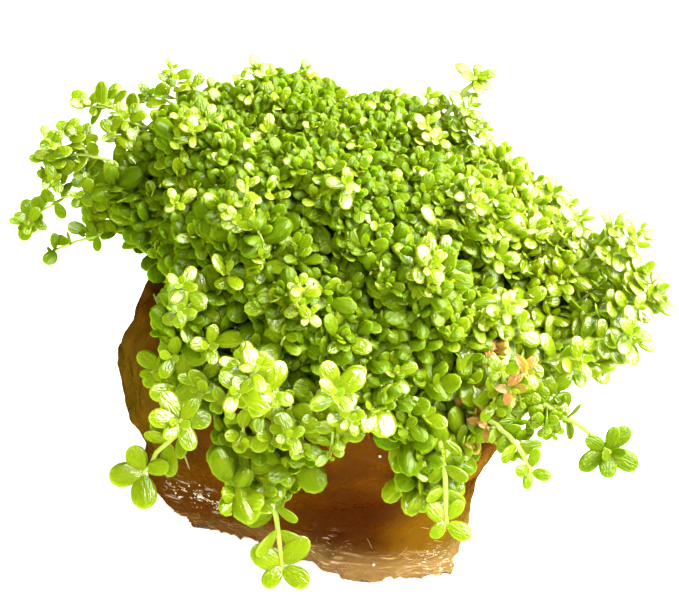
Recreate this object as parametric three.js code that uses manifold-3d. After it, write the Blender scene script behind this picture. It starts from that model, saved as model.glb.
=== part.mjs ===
// Dwarf baby tears, a creeping aquarium plant, growing out of a plug of wet wool.
// Millimetres, +Z up. The origin is the middle of the flat base that the plug stands on,
// -Y is the side that the sprigs hang down most.
//
// The pieces are the plug, the mat of short leafy stems that covers its top like a mop, and the
// sprigs that stand or trail clear of the mat. Each sprig is one stem with its leaves, and is
// planted in a socket of the mat.
import * as THREE from "three";
import { mergeVertices } from "three/addons/utils/BufferGeometryUtils.js";
import Module from "manifold-3d";

const wasm = await Module();
wasm.setup();

// Driving dimensions
const PLUG = { height: 26, sides: 36, rows: 9, topBevel: 1.2 };
// Half widths of the plug's outline at its base and its top, and where its middle stands.
const BASE = { halfX: 17.2, halfY: 12.8, midX: 0.6, midY: 0 };
const TOP = { halfX: 23.2, halfY: 18.5, midX: 0.6, midY: 1.4 };
const OUTLINE_POWER = 2.4; // 2 is an ellipse, more is squarer
const GAP = 0.35; // clear space between neighbouring pieces
const HAIR = 0.005; // corners closer than this become one
// The mat is a flattened ball: its widest level, how far it rises above and falls below that, its
// half widths there, and where its middle stands.
const MAT = { detail: 7, rim: 26, rise: 21, fall: 6, halfX: 28, halfY: 23.4, midX: 3, midY: 3 };
const CROWN_SHIFT = { x: -6.4, y: 5.5 }; // the crown leans back and to the left of the rim
// Tufts stand out of the mat evenly all over, with valleys between them.
const TUFTS = { count: 36, rise: 1.4, spread: 0.19, deepest: 2 };
const STEM = { radius: 0.42, sides: 4, step: 2.4 };
const LEAF = { length: 3.1, width: 2.3, thick: 0.6, fromStem: 0.05, eggShape: 0.28 };
// The pairs of leaves on a stem: how far each is from the tip, and its size beside a full leaf.
const PAIRS = [
  { back: 0.2, size: 0.7 },
  { back: 1.3, size: 1 },
  { back: 3.6, size: 1.05 },
  { back: 6.2, size: 0.95 },
];

const DEG = Math.PI / 180;
const UP = new THREE.Vector3(0, 0, 1);

// The plug's lumps and hollows: the way each faces in degrees from +X, its height, how far it
// stands out (or in, below 0), and how wide in degrees and how tall in millimetres it is.
const PLUG_FORMS = [
  { faces: 186, height: 16.5, out: 3.3, wide: 30, tall: 4 }, // left shoulder
  { faces: 190, height: 8, out: 1.9, wide: 34, tall: 6 }, // left belly
  { faces: 240, height: 2, out: -3.6, wide: 32, tall: 9 }, // front left is cut back
  { faces: 214, height: 6.5, out: 1.4, wide: 20, tall: 1.6 }, // ledge above the cut
  { faces: 292, height: 9.5, out: -2.4, wide: 24, tall: 5.5 }, // hollow in the front
  { faces: 294, height: 1.5, out: 1.2, wide: 20, tall: 2.2 }, // lip below the hollow
  { faces: 330, height: 1, out: 2.6, wide: 11, tall: 5 }, // front right corner
  { faces: 338, height: 13, out: -0.9, wide: 15, tall: 6 }, // right side, less full above it
  { faces: 20, height: 12, out: -1.2, wide: 22, tall: 6 },
  { faces: 62, height: 7, out: 1.5, wide: 24, tall: 5 },
  { faces: 108, height: 16, out: -1.8, wide: 26, tall: 5 },
  { faces: 140, height: 5, out: 1.2, wide: 18, tall: 4 },
];

// The mat's edge, going round it: how much farther out it reaches there, as a share of its half
// width, how far it is lifted (or hangs down, below 0), and how wide the change is in degrees.
const MAT_EDGE = [
  { faces: 176, reach: 0.04, lift: 6, wide: 24 }, // left side, held clear of the plug
  { faces: 204, reach: -0.28, lift: 3, wide: 13 }, // the plug's left shoulder is bare
  { faces: 229, reach: 0.04, lift: -4, wide: 9 }, // front left tuft
  { faces: 253, reach: 0, lift: -13, wide: 11 }, // front tuft, which hangs lowest
  { faces: 272, reach: -0.03, lift: 3, wide: 7 }, // gap between the two front tufts
  { faces: 291, reach: 0, lift: -11, wide: 8 }, // front right tuft
  { faces: 320, reach: -0.18, lift: 2, wide: 15 }, // cut back above the front right corner
  { faces: 2, reach: 0.09, lift: 6, wide: 20 }, // right lobe
  { faces: 44, reach: -0.2, lift: 0, wide: 24 },
  { faces: 95, reach: 0, lift: -4, wide: 30 }, // back, which droops
  { faces: 140, reach: 0.08, lift: 0, wide: 24 },
];

// Sprigs placed one by one: where the stem leaves the mat, where it ends, and how far its middle
// stands above the straight line between them.
const PLACED_SPRIGS = [
  { name: "left_long_sprig", root: [-24, 7, 33.5], tip: [-37, 8, 27.5], arch: 2.4 },
  { name: "left_low_sprig", root: [-22, 5, 30], tip: [-32, 3, 26.5], arch: 1.2 },
  { name: "left_back_sprig", root: [-22, 12, 34], tip: [-31, 14, 31], arch: 1.4 },
  { name: "left_middle_sprig", root: [-24, 10, 35.5], tip: [-34.5, 11, 35.5], arch: 0.8 },
  { name: "left_upper_sprig", root: [-22, 14, 37.5], tip: [-32, 17, 39], arch: 1.2 },
  { name: "left_crown_sprig", root: [-18, 17, 38.5], tip: [-25.4, 20, 40], arch: 0.8 },
  { name: "left_rim_sprig", root: [-13, -10, 31], tip: [-15.5, -15.5, 38], arch: 0 },
  { name: "tall_crown_sprig", root: [9, 13, 43], tip: [11.5, 16, 50.5], arch: 0 },
  { name: "right_back_sprig", root: [20, 8, 35], tip: [21.8, 11, 39.6], arch: 0.4 },
  { name: "right_high_sprig", root: [25, 2, 34], tip: [28.2, 4, 40.4], arch: 0.6 },
  { name: "right_long_sprig", root: [27, -1, 32], tip: [33.4, -1, 34.5], arch: 1.2 },
  { name: "right_lower_sprig", root: [26, -6, 30], tip: [31.6, -6, 32.4], arch: 1.2 },
  { name: "right_short_sprig", root: [20, -10, 29], tip: [23.6, -12, 28.2], arch: 0.6 },
  { name: "right_trailing_sprig", root: [18, -12, 28], tip: [29.5, -16, 24.5], arch: 1.6 },
  { name: "right_hanging_sprig", root: [16, -15, 27], tip: [21.5, -18.5, 23.5], arch: 1 },
  { name: "front_right_sprig", root: [12, -18.5, 25], tip: [13.8, -22, 18.2], arch: 1.2 },
  { name: "front_long_sprig", root: [-5, -19, 20], tip: [-2, -21.5, 7.8], arch: 1.4 },
  { name: "front_left_sprig", root: [-12, -15.5, 22], tip: [-17.8, -19.5, 16.4], arch: 1.4 },
  { name: "front_rosette_sprig", root: [-11, -16, 27], tip: [-13.6, -23, 27], arch: 0.8 },
  { name: "front_upper_sprig", root: [-6, -17, 30], tip: [-8.5, -24, 32], arch: 0.4 },
  { name: "front_centre_sprig", root: [1, -18, 31], tip: [1, -24.5, 34], arch: 0.4 },
];

// Sprigs spread evenly over the rest of the mat, like the seeds of a sunflower: how many, from
// and to what share of the way down the dome, how far each stands out, how far its stem goes in,
// how clear of the next it keeps, and the turn from one to the next.
const SPREAD = { count: 14, from: 0.03, to: 0.9, out: 1.2, into: 3, apart: 8.5, turn: 137.5 };

// A number from 0 to 1 that looks random, and is the same for the same seed.
function chance(seed) {
  const x = Math.sin(seed * 12.9898) * 43758.5453;
  return x - Math.floor(x);
}

// A smooth hump of height 1 over an angle in degrees.
function hump(angle, middle, wide) {
  const away = ((((angle - middle) % 360) + 540) % 360) - 180;
  return Math.exp(-((away / wide) ** 2));
}

function smoothStep(x) {
  const t = Math.min(1, Math.max(0, x));
  return t * t * (3 - 2 * t);
}

// How far a rounded rectangle's edge is from its middle, at an angle in degrees.
function outlineRadius(angle, halfX, halfY) {
  const c = Math.abs(Math.cos(angle * DEG) / halfX);
  const s = Math.abs(Math.sin(angle * DEG) / halfY);
  return (c ** OUTLINE_POWER + s ** OUTLINE_POWER) ** (-1 / OUTLINE_POWER);
}

function plugRadius(angle, z) {
  const t = Math.min(1, z / PLUG.height);
  const mix = (a, b) => a + (b - a) * t;
  let radius = outlineRadius(angle, mix(BASE.halfX, TOP.halfX), mix(BASE.halfY, TOP.halfY));
  for (const f of PLUG_FORMS)
    radius += f.out * hump(angle, f.faces, f.wide) * Math.exp(-(((z - f.height) / f.tall) ** 2));
  const grain =
    0.35 * Math.sin(5 * angle * DEG + 0.7 * z) + 0.25 * Math.sin(11 * angle * DEG - 0.9 * z + 1);
  return radius + grain;
}

// A three.js shape as a solid that can be joined and cut.
function solidOf(geometry) {
  const bare = geometry.clone();
  bare.deleteAttribute("normal");
  bare.deleteAttribute("uv");
  const merged = mergeVertices(bare, 1e-4);
  return new wasm.Manifold(
    new wasm.Mesh({
      numProp: 3,
      vertProperties: merged.attributes.position.array,
      triVerts: new Uint32Array(merged.index.array),
    }),
  );
}

// A solid as a three.js shape. Corners that a join has left a hair apart are made one, and the
// triangles between them go.
function geometryOf(solid) {
  const { numVert, vertProperties, triVerts } = solid.getMesh();
  const corners = [];
  for (let i = 0; i < numVert; i++)
    corners.push(new THREE.Vector3().fromArray(vertProperties, 3 * i));
  const joined = corners.map((corner, i) => i);
  const find = (i) => (joined[i] === i ? i : find(joined[i]));
  for (let i = 0; i < triVerts.length; i++) {
    const [a, b] = [triVerts[i], triVerts[i % 3 === 2 ? i - 2 : i + 1]];
    if (corners[a].distanceTo(corners[b]) < HAIR) joined[find(a)] = find(b);
  }
  const kept = [];
  for (let i = 0; i < triVerts.length; i += 3) {
    const triangle = [...triVerts.subarray(i, i + 3)].map(find);
    if (new Set(triangle).size === 3) kept.push(...triangle);
  }
  const loose = new THREE.BufferGeometry().setFromPoints(corners).setIndex(kept);
  return mergeVertices(loose.toNonIndexed(), 1e-6);
}

// Moves every point of a geometry: move changes the Vector3 that it is given.
function reshape(geometry, move) {
  const place = geometry.attributes.position;
  const p = new THREE.Vector3();
  for (let i = 0; i < place.count; i++) {
    p.fromBufferAttribute(place, i);
    move(p);
    place.setXYZ(i, p.x, p.y, p.z);
  }
  return geometry;
}

// The plug, or with grow above 0 one that much larger, to cut its neighbours with.
function plugSolid(grow = 0) {
  const column = new THREE.CylinderGeometry(1, 1, 1, PLUG.sides, PLUG.rows);
  column.rotateX(Math.PI / 2).translate(0, 0, 0.5);
  reshape(column, (p) => {
    const share = p.z;
    const angle = Math.atan2(p.y, p.x) / DEG;
    const onAxis = Math.hypot(p.x, p.y) < 0.01;
    const z = share * PLUG.height;
    const bevel = grow ? 0 : PLUG.topBevel * smoothStep((share - 0.9) * 10);
    const radius = onAxis ? 0 : plugRadius(angle, z) + grow - bevel;
    const midX = BASE.midX + (TOP.midX - BASE.midX) * share;
    const midY = BASE.midY + (TOP.midY - BASE.midY) * share;
    const low = grow ? -1 : 0;
    p.set(
      midX + radius * Math.cos(angle * DEG),
      midY + radius * Math.sin(angle * DEG),
      low + share * (PLUG.height + grow - low),
    );
  });
  return solidOf(column);
}

// Ways that point evenly over a dome: from and to are shares of the way from its top to its rim.
function sunflowerWays(count, from, to) {
  const ways = [];
  for (let i = 0; i < count; i++) {
    const z = 1 - (from + ((to - from) * (i + 0.5)) / count);
    const around = i * SPREAD.turn * DEG;
    const across = Math.sqrt(1 - z * z);
    ways.push(new THREE.Vector3(across * Math.cos(around), across * Math.sin(around), z));
  }
  return ways;
}

const TUFT_WAYS = sunflowerWays(TUFTS.count, 0, 1.25);

// The point of the mat's surface that lies the given way from its middle.
function matPoint(way) {
  const angle = Math.atan2(way.y, way.x) / DEG;
  const near = Math.min(...TUFT_WAYS.map((t) => t.distanceTo(way)));
  const tuft = Math.max(-TUFTS.deepest, TUFTS.rise * (1 - (near / TUFTS.spread) ** 2));
  const flat = Math.hypot(way.x, way.y);
  const low = smoothStep((0.5 - way.z) / 0.6) * flat;
  let reach = 1;
  let lift = 0;
  for (const e of MAT_EDGE) {
    reach += e.reach * flat * hump(angle, e.faces, e.wide);
    lift += e.lift * low * hump(angle, e.faces, e.wide);
  }
  const crown = Math.max(0, way.z);
  const grow = 1 + tuft / 26;
  const fuller = reach * grow * flat ** -0.15;
  return new THREE.Vector3(
    MAT.midX + CROWN_SHIFT.x * crown + MAT.halfX * way.x * (flat ? fuller : 0),
    MAT.midY + CROWN_SHIFT.y * crown + MAT.halfY * way.y * (flat ? fuller : 0),
    MAT.rim + (way.z > 0 ? MAT.rise * grow : MAT.fall) * way.z + lift,
  );
}

function matSolid() {
  const ball = new THREE.IcosahedronGeometry(1, MAT.detail);
  const mop = solidOf(reshape(ball, (p) => p.copy(matPoint(p.clone().normalize()))));
  return mop.subtract(plugSolid(GAP + 0.15));
}

// The curve of a stem from its root to its tip, with its middle raised by arch.
function stemCurve({ root, tip, arch }) {
  const a = new THREE.Vector3(...root);
  const b = new THREE.Vector3(...tip);
  const middle = a.clone().lerp(b, 0.5).addScaledVector(UP, 2 * arch);
  return new THREE.QuadraticBezierCurve3(a, middle, b);
}

function tubeSolid(curve, radius) {
  const corners = [];
  for (let i = 0; i < STEM.sides; i++) {
    const turn = (i * 2 * Math.PI) / STEM.sides;
    corners.push(new THREE.Vector2(radius * Math.cos(turn), radius * Math.sin(turn)));
  }
  return solidOf(
    new THREE.ExtrudeGeometry(new THREE.Shape(corners), {
      steps: Math.max(2, Math.round(curve.getLength() / STEM.step)),
      extrudePath: curve,
    }),
  );
}

// A leaf: a thick egg-shaped blade of six corners, its narrow end in the stem.
function leafSolid(place, along, face, size, grow = 0) {
  const blade = new THREE.SphereGeometry(0.5, 6, 2);
  const side = new THREE.Vector3().crossVectors(face, along).normalize();
  const upright = new THREE.Vector3().crossVectors(along, side).normalize();
  const frame = new THREE.Matrix4().makeBasis(along, side, upright).setPosition(place);
  reshape(blade, (p) => {
    const length = LEAF.length * size;
    const broad = LEAF.width * size * (1 + LEAF.eggShape * p.x);
    p.set(
      LEAF.fromStem + length * (0.5 + p.x) + 2 * grow * p.x,
      -p.z * (broad + 2 * grow),
      p.y * (LEAF.thick + 2 * grow),
    );
  });
  return solidOf(blade.applyMatrix4(frame));
}

// The pairs of leaves along a stem, from its tip back: where each leaf starts, the way it points,
// the way its upper face looks, and its size.
function leafPlaces(curve, seed) {
  const places = [];
  const long = curve.getLength();
  const turned = chance(seed) * 180;
  PAIRS.forEach((node, pair) => {
    if (node.back > long - 1) return;
    const share = 1 - node.back / long;
    const point = curve.getPointAt(share);
    const ahead = curve.getTangentAt(share);
    const side = new THREE.Vector3().crossVectors(ahead, UP);
    if (side.length() < 0.2) side.set(1, 0, 0);
    side.normalize();
    const over = new THREE.Vector3().crossVectors(side, ahead).normalize();
    const open = (38 + 12 * Math.min(pair, 2) + 8 * chance(seed + 3 * pair)) * DEG;
    for (const half of [0, 180]) {
      const around = (turned + 90 * pair + half) * DEG;
      const out = side
        .clone()
        .multiplyScalar(Math.cos(around))
        .addScaledVector(over, Math.sin(around));
      const along = out.clone().multiplyScalar(Math.sin(open));
      along.addScaledVector(ahead, Math.cos(open)).normalize();
      const face = ahead.clone().multiplyScalar(Math.sin(open));
      face.addScaledVector(out, -Math.cos(open)).addScaledVector(UP, 0.25).normalize();
      const size = node.size * (0.92 + 0.16 * chance(seed + 7 * pair + half));
      places.push({ point, along, face, size });
    }
  });
  return places;
}

function meets(solid, others) {
  return others.some((o) => solid.intersect(o).volume() > 0);
}

// One sprig: its stem with each leaf that has room beside the other pieces.
function sprigSolid(stem, curve, seed, others) {
  const kept = [stem];
  for (const { point, along, face, size } of leafPlaces(curve, seed)) {
    if (meets(leafSolid(point, along, face, size, GAP), others)) continue;
    kept.push(leafSolid(point, along, face, size));
  }
  return kept.reduce((all, one) => all.add(one));
}

// The sprigs that stand straight out of the mat, away from those placed one by one.
function spreadSprigs() {
  const placed = PLACED_SPRIGS.map((s) => new THREE.Vector3(...s.tip));
  const middle = new THREE.Vector3(MAT.midX, MAT.midY, MAT.rim - 6);
  const found = [];
  for (const way of sunflowerWays(SPREAD.count * 2, SPREAD.from, SPREAD.to)) {
    const skin = matPoint(way);
    const out = skin.clone().sub(middle).normalize();
    const tip = skin.clone().addScaledVector(out, SPREAD.out);
    if (placed.some((p) => p.distanceTo(tip) < SPREAD.apart)) continue;
    placed.push(tip);
    const root = skin.clone().addScaledVector(out, -SPREAD.into);
    found.push({
      name: `mat_sprig_${String(found.length + 1).padStart(2, "0")}`,
      root: root.toArray(),
      tip: tip.toArray(),
      arch: 0.3,
    });
  }
  return found.slice(0, SPREAD.count);
}

const wetWool = new THREE.MeshStandardMaterial({ color: "#8a5a14", roughness: 0.35 });
const matGreen = new THREE.MeshStandardMaterial({ color: "#4f7d12", roughness: 0.55 });
const leafGreen = new THREE.MeshStandardMaterial({ color: "#8cc21a", roughness: 0.4 });

const group = new THREE.Group();
function addPiece(name, solid, material) {
  const mesh = new THREE.Mesh(geometryOf(solid), material);
  mesh.name = name;
  group.add(mesh);
}

const plug = plugSolid();
let mat = matSolid();
const sprigs = [];
[...PLACED_SPRIGS, ...spreadSprigs()].forEach((sprig, i) => {
  const curve = stemCurve(sprig);
  mat = mat.subtract(tubeSolid(curve, STEM.radius + GAP));
  sprigs.push({ name: sprig.name, curve, seed: i + 1 });
});

addPiece("growing_plug", plug, wetWool);
addPiece("leafy_mat", mat, matGreen);
const stems = sprigs.map(({ curve }) => tubeSolid(curve, STEM.radius));
const leafed = [];
sprigs.forEach(({ name, curve, seed }, i) => {
  const others = [plug, mat, ...stems.filter((stem, j) => j !== i), ...leafed];
  const solid = sprigSolid(stems[i], curve, seed, others);
  leafed.push(solid);
  addPiece(name, solid, leafGreen);
});

export default group;
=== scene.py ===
"""Dwarf baby tears growing out of a plug of wet wool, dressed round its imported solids.

The plug keeps the solid's shape and gets a soaked, fibrous surface. The leafy mat and each sprig
are grown leaf by leaf, out to the solids that they stand for.
"""

import logging
import math
from collections.abc import Callable, Iterable
from dataclasses import dataclass, field, replace
from enum import Enum
from itertools import product

import bmesh
import bpy
import numpy as np
from mathutils import Matrix, Vector, noise
from mathutils.bvhtree import BVHTree


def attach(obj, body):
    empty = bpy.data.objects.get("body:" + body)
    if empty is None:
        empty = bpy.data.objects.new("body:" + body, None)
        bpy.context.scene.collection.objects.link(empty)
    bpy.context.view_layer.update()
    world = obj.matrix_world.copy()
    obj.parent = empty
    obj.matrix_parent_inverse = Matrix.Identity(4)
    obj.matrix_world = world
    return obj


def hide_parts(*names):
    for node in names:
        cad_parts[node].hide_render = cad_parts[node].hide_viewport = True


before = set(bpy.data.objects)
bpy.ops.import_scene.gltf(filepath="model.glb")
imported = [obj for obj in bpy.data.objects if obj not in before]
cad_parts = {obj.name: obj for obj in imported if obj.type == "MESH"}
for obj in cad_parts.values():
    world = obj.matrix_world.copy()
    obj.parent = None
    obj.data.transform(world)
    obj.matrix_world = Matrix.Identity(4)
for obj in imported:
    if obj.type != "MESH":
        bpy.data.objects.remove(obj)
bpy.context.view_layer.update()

log = logging.getLogger("baby_tears")

MM = 0.001
MERGE = 0.001 * MM  # corners that are closer than this are one
SEEDS = 1 << 30  # how many seeds there are to draw from
UP = Vector((0.0, 0.0, 1.0))
TO_LIGHT = Vector((0.24, -0.56, 0.79)).normalized()  # the way that young leaves turn

Point = tuple[float, float, float]
Colour = tuple[float, float, float]
Piece = bpy.types.Object
Material = bpy.types.Material
Tree = bpy.types.NodeTree
Socket = bpy.types.NodeSocket
Sockets = bpy.types.NodeOutputs
NodeInput = float | tuple[float, ...] | Socket


def cad_object(node: str) -> Piece:
    """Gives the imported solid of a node."""
    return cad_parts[node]


def deselect_all() -> None:
    """Leaves nothing selected, so that an operator acts only on what is chosen next."""
    if bpy.context.object and bpy.context.object.mode != "OBJECT":
        bpy.ops.object.mode_set(mode="OBJECT")
    bpy.ops.object.select_all(action="DESELECT")


def make_active(piece: Piece) -> None:
    """Selects one piece alone and makes it the active one.

    Args:
        piece: the piece.
    """
    deselect_all()
    piece.select_set(True)
    bpy.context.view_layer.objects.active = piece


def edit_all() -> None:
    """Opens the active piece in edit mode with all of it selected."""
    bpy.ops.object.mode_set(mode="EDIT")
    bpy.ops.mesh.select_all(action="SELECT")


def shift(*, x: float = 0.0, z: float = 0.0) -> None:
    """Moves what is selected in edit mode."""
    bpy.ops.transform.translate(value=(x, 0.0, z))


def leave_edit() -> None:
    """Goes back to object mode."""
    bpy.ops.object.mode_set(mode="OBJECT")


def surface_of(piece: Piece) -> BVHTree:
    """Gives a finished piece's surface as a tree that tells what is near."""
    return BVHTree.FromObject(piece, bpy.context.evaluated_depsgraph_get())


def stand_for(piece: Piece, node: str) -> None:
    """Lets a piece stand in its solid's place.

    Args:
        piece: the piece.
        node: the solid.
    """
    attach(piece, "root")
    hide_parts(node)


# Finishes


def dress(node: bpy.types.Node, values: dict[str | int, NodeInput]) -> None:
    """Sets a node's own inputs, joining those that are given a socket.

    Args:
        node: the node.
        values: a value, or a socket to join, for each input by name or number.
    """
    for name, value in values.items():
        if isinstance(value, Socket):
            node.id_data.links.new(value, node.inputs[name])
        else:
            node.inputs[name].default_value = value


def add_node(
    tree: Tree,
    kind: str,
    inputs: dict[str | int, NodeInput] | None = None,
    **settings: object,
) -> bpy.types.Node:
    """Adds one node.

    Args:
        tree: the material's or group's node tree.
        kind: the node's type without its ShaderNode prefix.
        inputs: a value, or a socket to join, for each input by name or number.
        settings: the node's own settings.

    Returns:
        The new node.
    """
    made = tree.nodes.new("ShaderNode" + kind)
    for name, value in settings.items():
        setattr(made, name, value)
    dress(made, inputs or {})
    return made


def calculate(tree: Tree, operation: str, *values: NodeInput) -> Socket:
    """Reckons with up to three numbers."""
    return add_node(tree, "Math", dict(enumerate(values)), operation=operation).outputs[0]


def vectors(tree: Tree, operation: str, *values: NodeInput) -> Sockets:
    """Reckons with vectors, and gives both the vector and the number that come out."""
    return add_node(tree, "VectorMath", dict(enumerate(values)), operation=operation).outputs


def multiply(tree: Tree, first: NodeInput, second: NodeInput) -> Socket:
    """Multiplies two numbers."""
    return calculate(tree, "MULTIPLY", first, second)


def ramp(tree: Tree, value: Socket, low: NodeInput, high: float, to: tuple = (0.0, 1.0)) -> Socket:
    """Maps a value from between low and high to between the two ends of to, smoothly."""
    inputs = {"Value": value, "From Min": low, "From Max": high, "To Min": to[0], "To Max": to[1]}
    return add_node(tree, "MapRange", inputs, interpolation_type="SMOOTHSTEP").outputs[0]


def noise_clouds(
    tree: Tree, place: Socket, scale: NodeInput, detail: float, warp: float = 0.0
) -> Socket:
    """Makes soft clouds."""
    inputs = {"Vector": place, "Scale": scale, "Detail": detail, "Distortion": warp}
    return add_node(tree, "TexNoise", inputs).outputs[0]


def layered(tree: Tree, body: Colour, layers: Iterable[tuple[Socket, Colour]]) -> Socket:
    """Lays colours over one another.

    Args:
        tree: the material's node tree.
        body: the colour at the bottom.
        layers: how much of each next colour covers what is under it, and that colour.

    Returns:
        The colour that is seen.
    """
    seen = (*body, 1.0)
    for share, colour in layers:
        inputs = {0: share, 6: seen, 7: (*colour, 1.0)}
        seen = add_node(tree, "Mix", inputs, data_type="RGBA").outputs[2]
    return seen


def bump(tree: Tree, height: Socket, strength: float, distance: float) -> Socket:
    """Turns a height into a normal, with the distance in millimetres."""
    inputs = {"Height": height, "Strength": strength, "Distance": distance * MM}
    return add_node(tree, "Bump", inputs).outputs[0]


def object_place(tree: Tree) -> Socket:
    """Reads the place on the piece."""
    return add_node(tree, "TexCoord").outputs["Object"]


def attribute(tree: Tree, name: str) -> Socket:
    """Reads one of a piece's own number attributes."""
    return add_node(tree, "Attribute", attribute_name=name).outputs["Fac"]


def new_group(
    name: str, inputs: dict[str, float], outputs: list[str]
) -> tuple[Tree, bpy.types.Node, bpy.types.Node]:
    """Makes an empty shader node group with number sockets, and its two end nodes.

    Args:
        name: the group's name.
        inputs: its inputs and what each is when nothing is set.
        outputs: its outputs.

    Returns:
        The group, its input node and its output node.
    """
    group = bpy.data.node_groups.new(name, "ShaderNodeTree")
    for socket, value in inputs.items():
        made = group.interface.new_socket(socket, in_out="INPUT", socket_type="NodeSocketFloat")
        made.default_value = value
    for socket in outputs:
        group.interface.new_socket(socket, in_out="OUTPUT", socket_type="NodeSocketFloat")
    return group, group.nodes.new("NodeGroupInput"), group.nodes.new("NodeGroupOutput")


def mottle_group() -> Tree:
    """Builds the shared mottling: a cloudy mask and a fine grain, both at a size in millimetres.

    Returns:
        The group.
    """
    sizes = {"Patch mm": 2.0, "Grain mm": 0.3}
    group, start, end = new_group("mottle", sizes, ["Patches", "Grain"])
    place = object_place(group)
    for size, out, detail in (("Patch mm", "Patches", 2.0), ("Grain mm", "Grain", 3.0)):
        scale = calculate(group, "DIVIDE", 1 / MM, start.outputs[size])
        dress(end, {out: ramp(group, noise_clouds(group, place, scale, detail), 0.3, 0.7)})
    return group


def mottling(tree: Tree, mottle: Tree, patch: float, grain: float = 0.3) -> Sockets:
    """Places the shared mottling at its two sizes in millimetres."""
    inputs = {"Patch mm": patch, "Grain mm": grain}
    return add_node(tree, "Group", inputs, node_tree=mottle).outputs


def leaf_marks_group() -> Tree:
    """Builds the marks on a leaf's own map: its pale rim, its midrib and its wet streaks.

    Returns:
        The group.
    """
    group, start, end = new_group("leaf marks", {"Rim": 0.82}, ["Rim", "Midrib", "Streaks"])
    uv = add_node(group, "UVMap", uv_map="leaf_map").outputs[0]
    centre = vectors(group, "SUBTRACT", uv, (0.5, 0.5, 0.0))[0]
    away = multiply(group, vectors(group, "LENGTH", centre)["Value"], 2.0)
    across, along, _ = add_node(group, "SeparateXYZ", {0: centre}).outputs
    rib = ramp(group, calculate(group, "ABSOLUTE", across), 0.012, 0.045, (1.0, 0.0))
    fades = ramp(group, along, 0.05, 0.4, (1.0, 0.0))
    drawn_out = vectors(group, "MULTIPLY", uv, (7.5, 3.2, 0.0))[0]
    drawn = add_node(group, "SeparateXYZ", {0: drawn_out}).outputs
    own = multiply(group, attribute(group, "age"), 60.0)
    place = add_node(group, "CombineXYZ", {0: drawn[0], 1: drawn[1], 2: own}).outputs[0]
    dress(
        end,
        {
            "Rim": ramp(group, away, start.outputs["Rim"], 1.0),
            "Midrib": multiply(group, rib, fades),
            "Streaks": ramp(group, noise_clouds(group, place, 1.0, 2.0), 0.35, 0.65),
        },
    )
    return group


def new_material(name: str) -> tuple[Material, Tree, bpy.types.Node]:
    """Makes a material and gives it, its tree and its shader.

    Args:
        name: the material's name.

    Returns:
        The material, its node tree and its shader node.
    """
    material = bpy.data.materials.new(name)
    material.use_nodes = True
    tree = material.node_tree
    return material, tree, tree.nodes["Principled BSDF"]


@dataclass(frozen=True)
class LeafFinish:
    """Glossy, slightly see-through leaf: lime when young, deeper green when old, darker with painted
    shade.
    """

    young: Colour = (0.38, 0.50, 0.005)
    grown: Colour = (0.255, 0.345, 0.002)
    shaded: Colour = (0.13, 0.208, 0.001)
    rim: Colour = (0.52, 0.66, 0.08)
    withered: Colour = (0.56, 0.25, 0.08)
    patch: float = 3.0
    grain: float = 0.35

    def material(self, marks: Tree, mottle: Tree) -> Material:
        """Builds the leaf's material from its marks and mottling.

        Args:
            marks: the leaf's own marks.
            mottle: the shared mottling.

        Returns:
            The material.
        """
        material, tree, shader = new_material("leaf")
        lines = add_node(tree, "Group", node_tree=marks).outputs
        cloud = mottling(tree, mottle, self.patch, self.grain)
        # Painted shade, deep in the mat and far back on a sprig: darkens the colour and thins the
        # coat.
        depth = attribute(tree, "depth")
        layers = (
            (attribute(tree, "age"), self.grown),
            (multiply(tree, cloud["Patches"], 0.25), self.shaded),
            (multiply(tree, lines["Rim"], 0.4), self.rim),
            (multiply(tree, lines["Midrib"], 0.12), self.rim),
            (depth, self.shaded),
            (attribute(tree, "wither"), self.withered),
        )
        streaks = multiply(tree, lines["Streaks"], 0.6)
        height = calculate(tree, "MULTIPLY_ADD", cloud["Grain"], 0.3, streaks)
        normal = bump(tree, height, 0.8, 0.1)
        dress(
            shader,
            {
                "Base Color": layered(tree, self.young, layers),
                "Roughness": 0.42,
                "Normal": normal,
                "Subsurface Weight": 0.5,
                "Subsurface Radius": (0.6, 1.0, 0.08),
                "Subsurface Scale": 0.8 * MM,
                "Specular IOR Level": 0.2,
                "Coat Weight": ramp(tree, depth, 0.1, 0.8, (1.0, 0.15)),
                "Coat Roughness": 0.1,
                "Coat IOR": 1.9,
                "Coat Normal": normal,
            },
        )
        return material


@dataclass(frozen=True)
class StemFinish:
    """Pale, watery green stem, darkened with painted shade towards its root."""

    colour: Colour = (0.48, 0.62, 0.09)
    # painted shade: the colour that a stem darkens to towards its root
    deep: Colour = (0.12, 0.20, 0.03)
    pale: Colour = (0.66, 0.74, 0.24)

    def material(self, mottle: Tree) -> Material:
        """Builds the stem's material.

        Args:
            mottle: the shared mottling.

        Returns:
            The material.
        """
        material, tree, shader = new_material("stem")
        pale = multiply(tree, mottling(tree, mottle, 2.0)["Patches"], 0.35)
        layers = ((attribute(tree, "depth"), self.deep), (pale, self.pale))
        dress(
            shader,
            {
                "Base Color": layered(tree, self.colour, layers),
                "Roughness": 0.32,
                "Subsurface Weight": 0.4,
                "Subsurface Radius": (0.8, 1.0, 0.3),
                "Subsurface Scale": 0.5 * MM,
            },
        )
        return material


@dataclass(frozen=True)
class Zone:
    """A patch of the plug: where it is and how far it reaches, in millimetres, and its colour."""

    centre: Point
    inner: float
    outer: float
    colour: Colour
    weight: float

    def mask(self, tree: Tree, place: Socket) -> Socket:
        """Makes the patch's mask, which fades from its inner to its outer reach."""
        away = vectors(tree, "DISTANCE", place, tuple(c * MM for c in self.centre))["Value"]
        return ramp(tree, away, self.inner * MM, self.outer * MM, (self.weight, 0.0))


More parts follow.
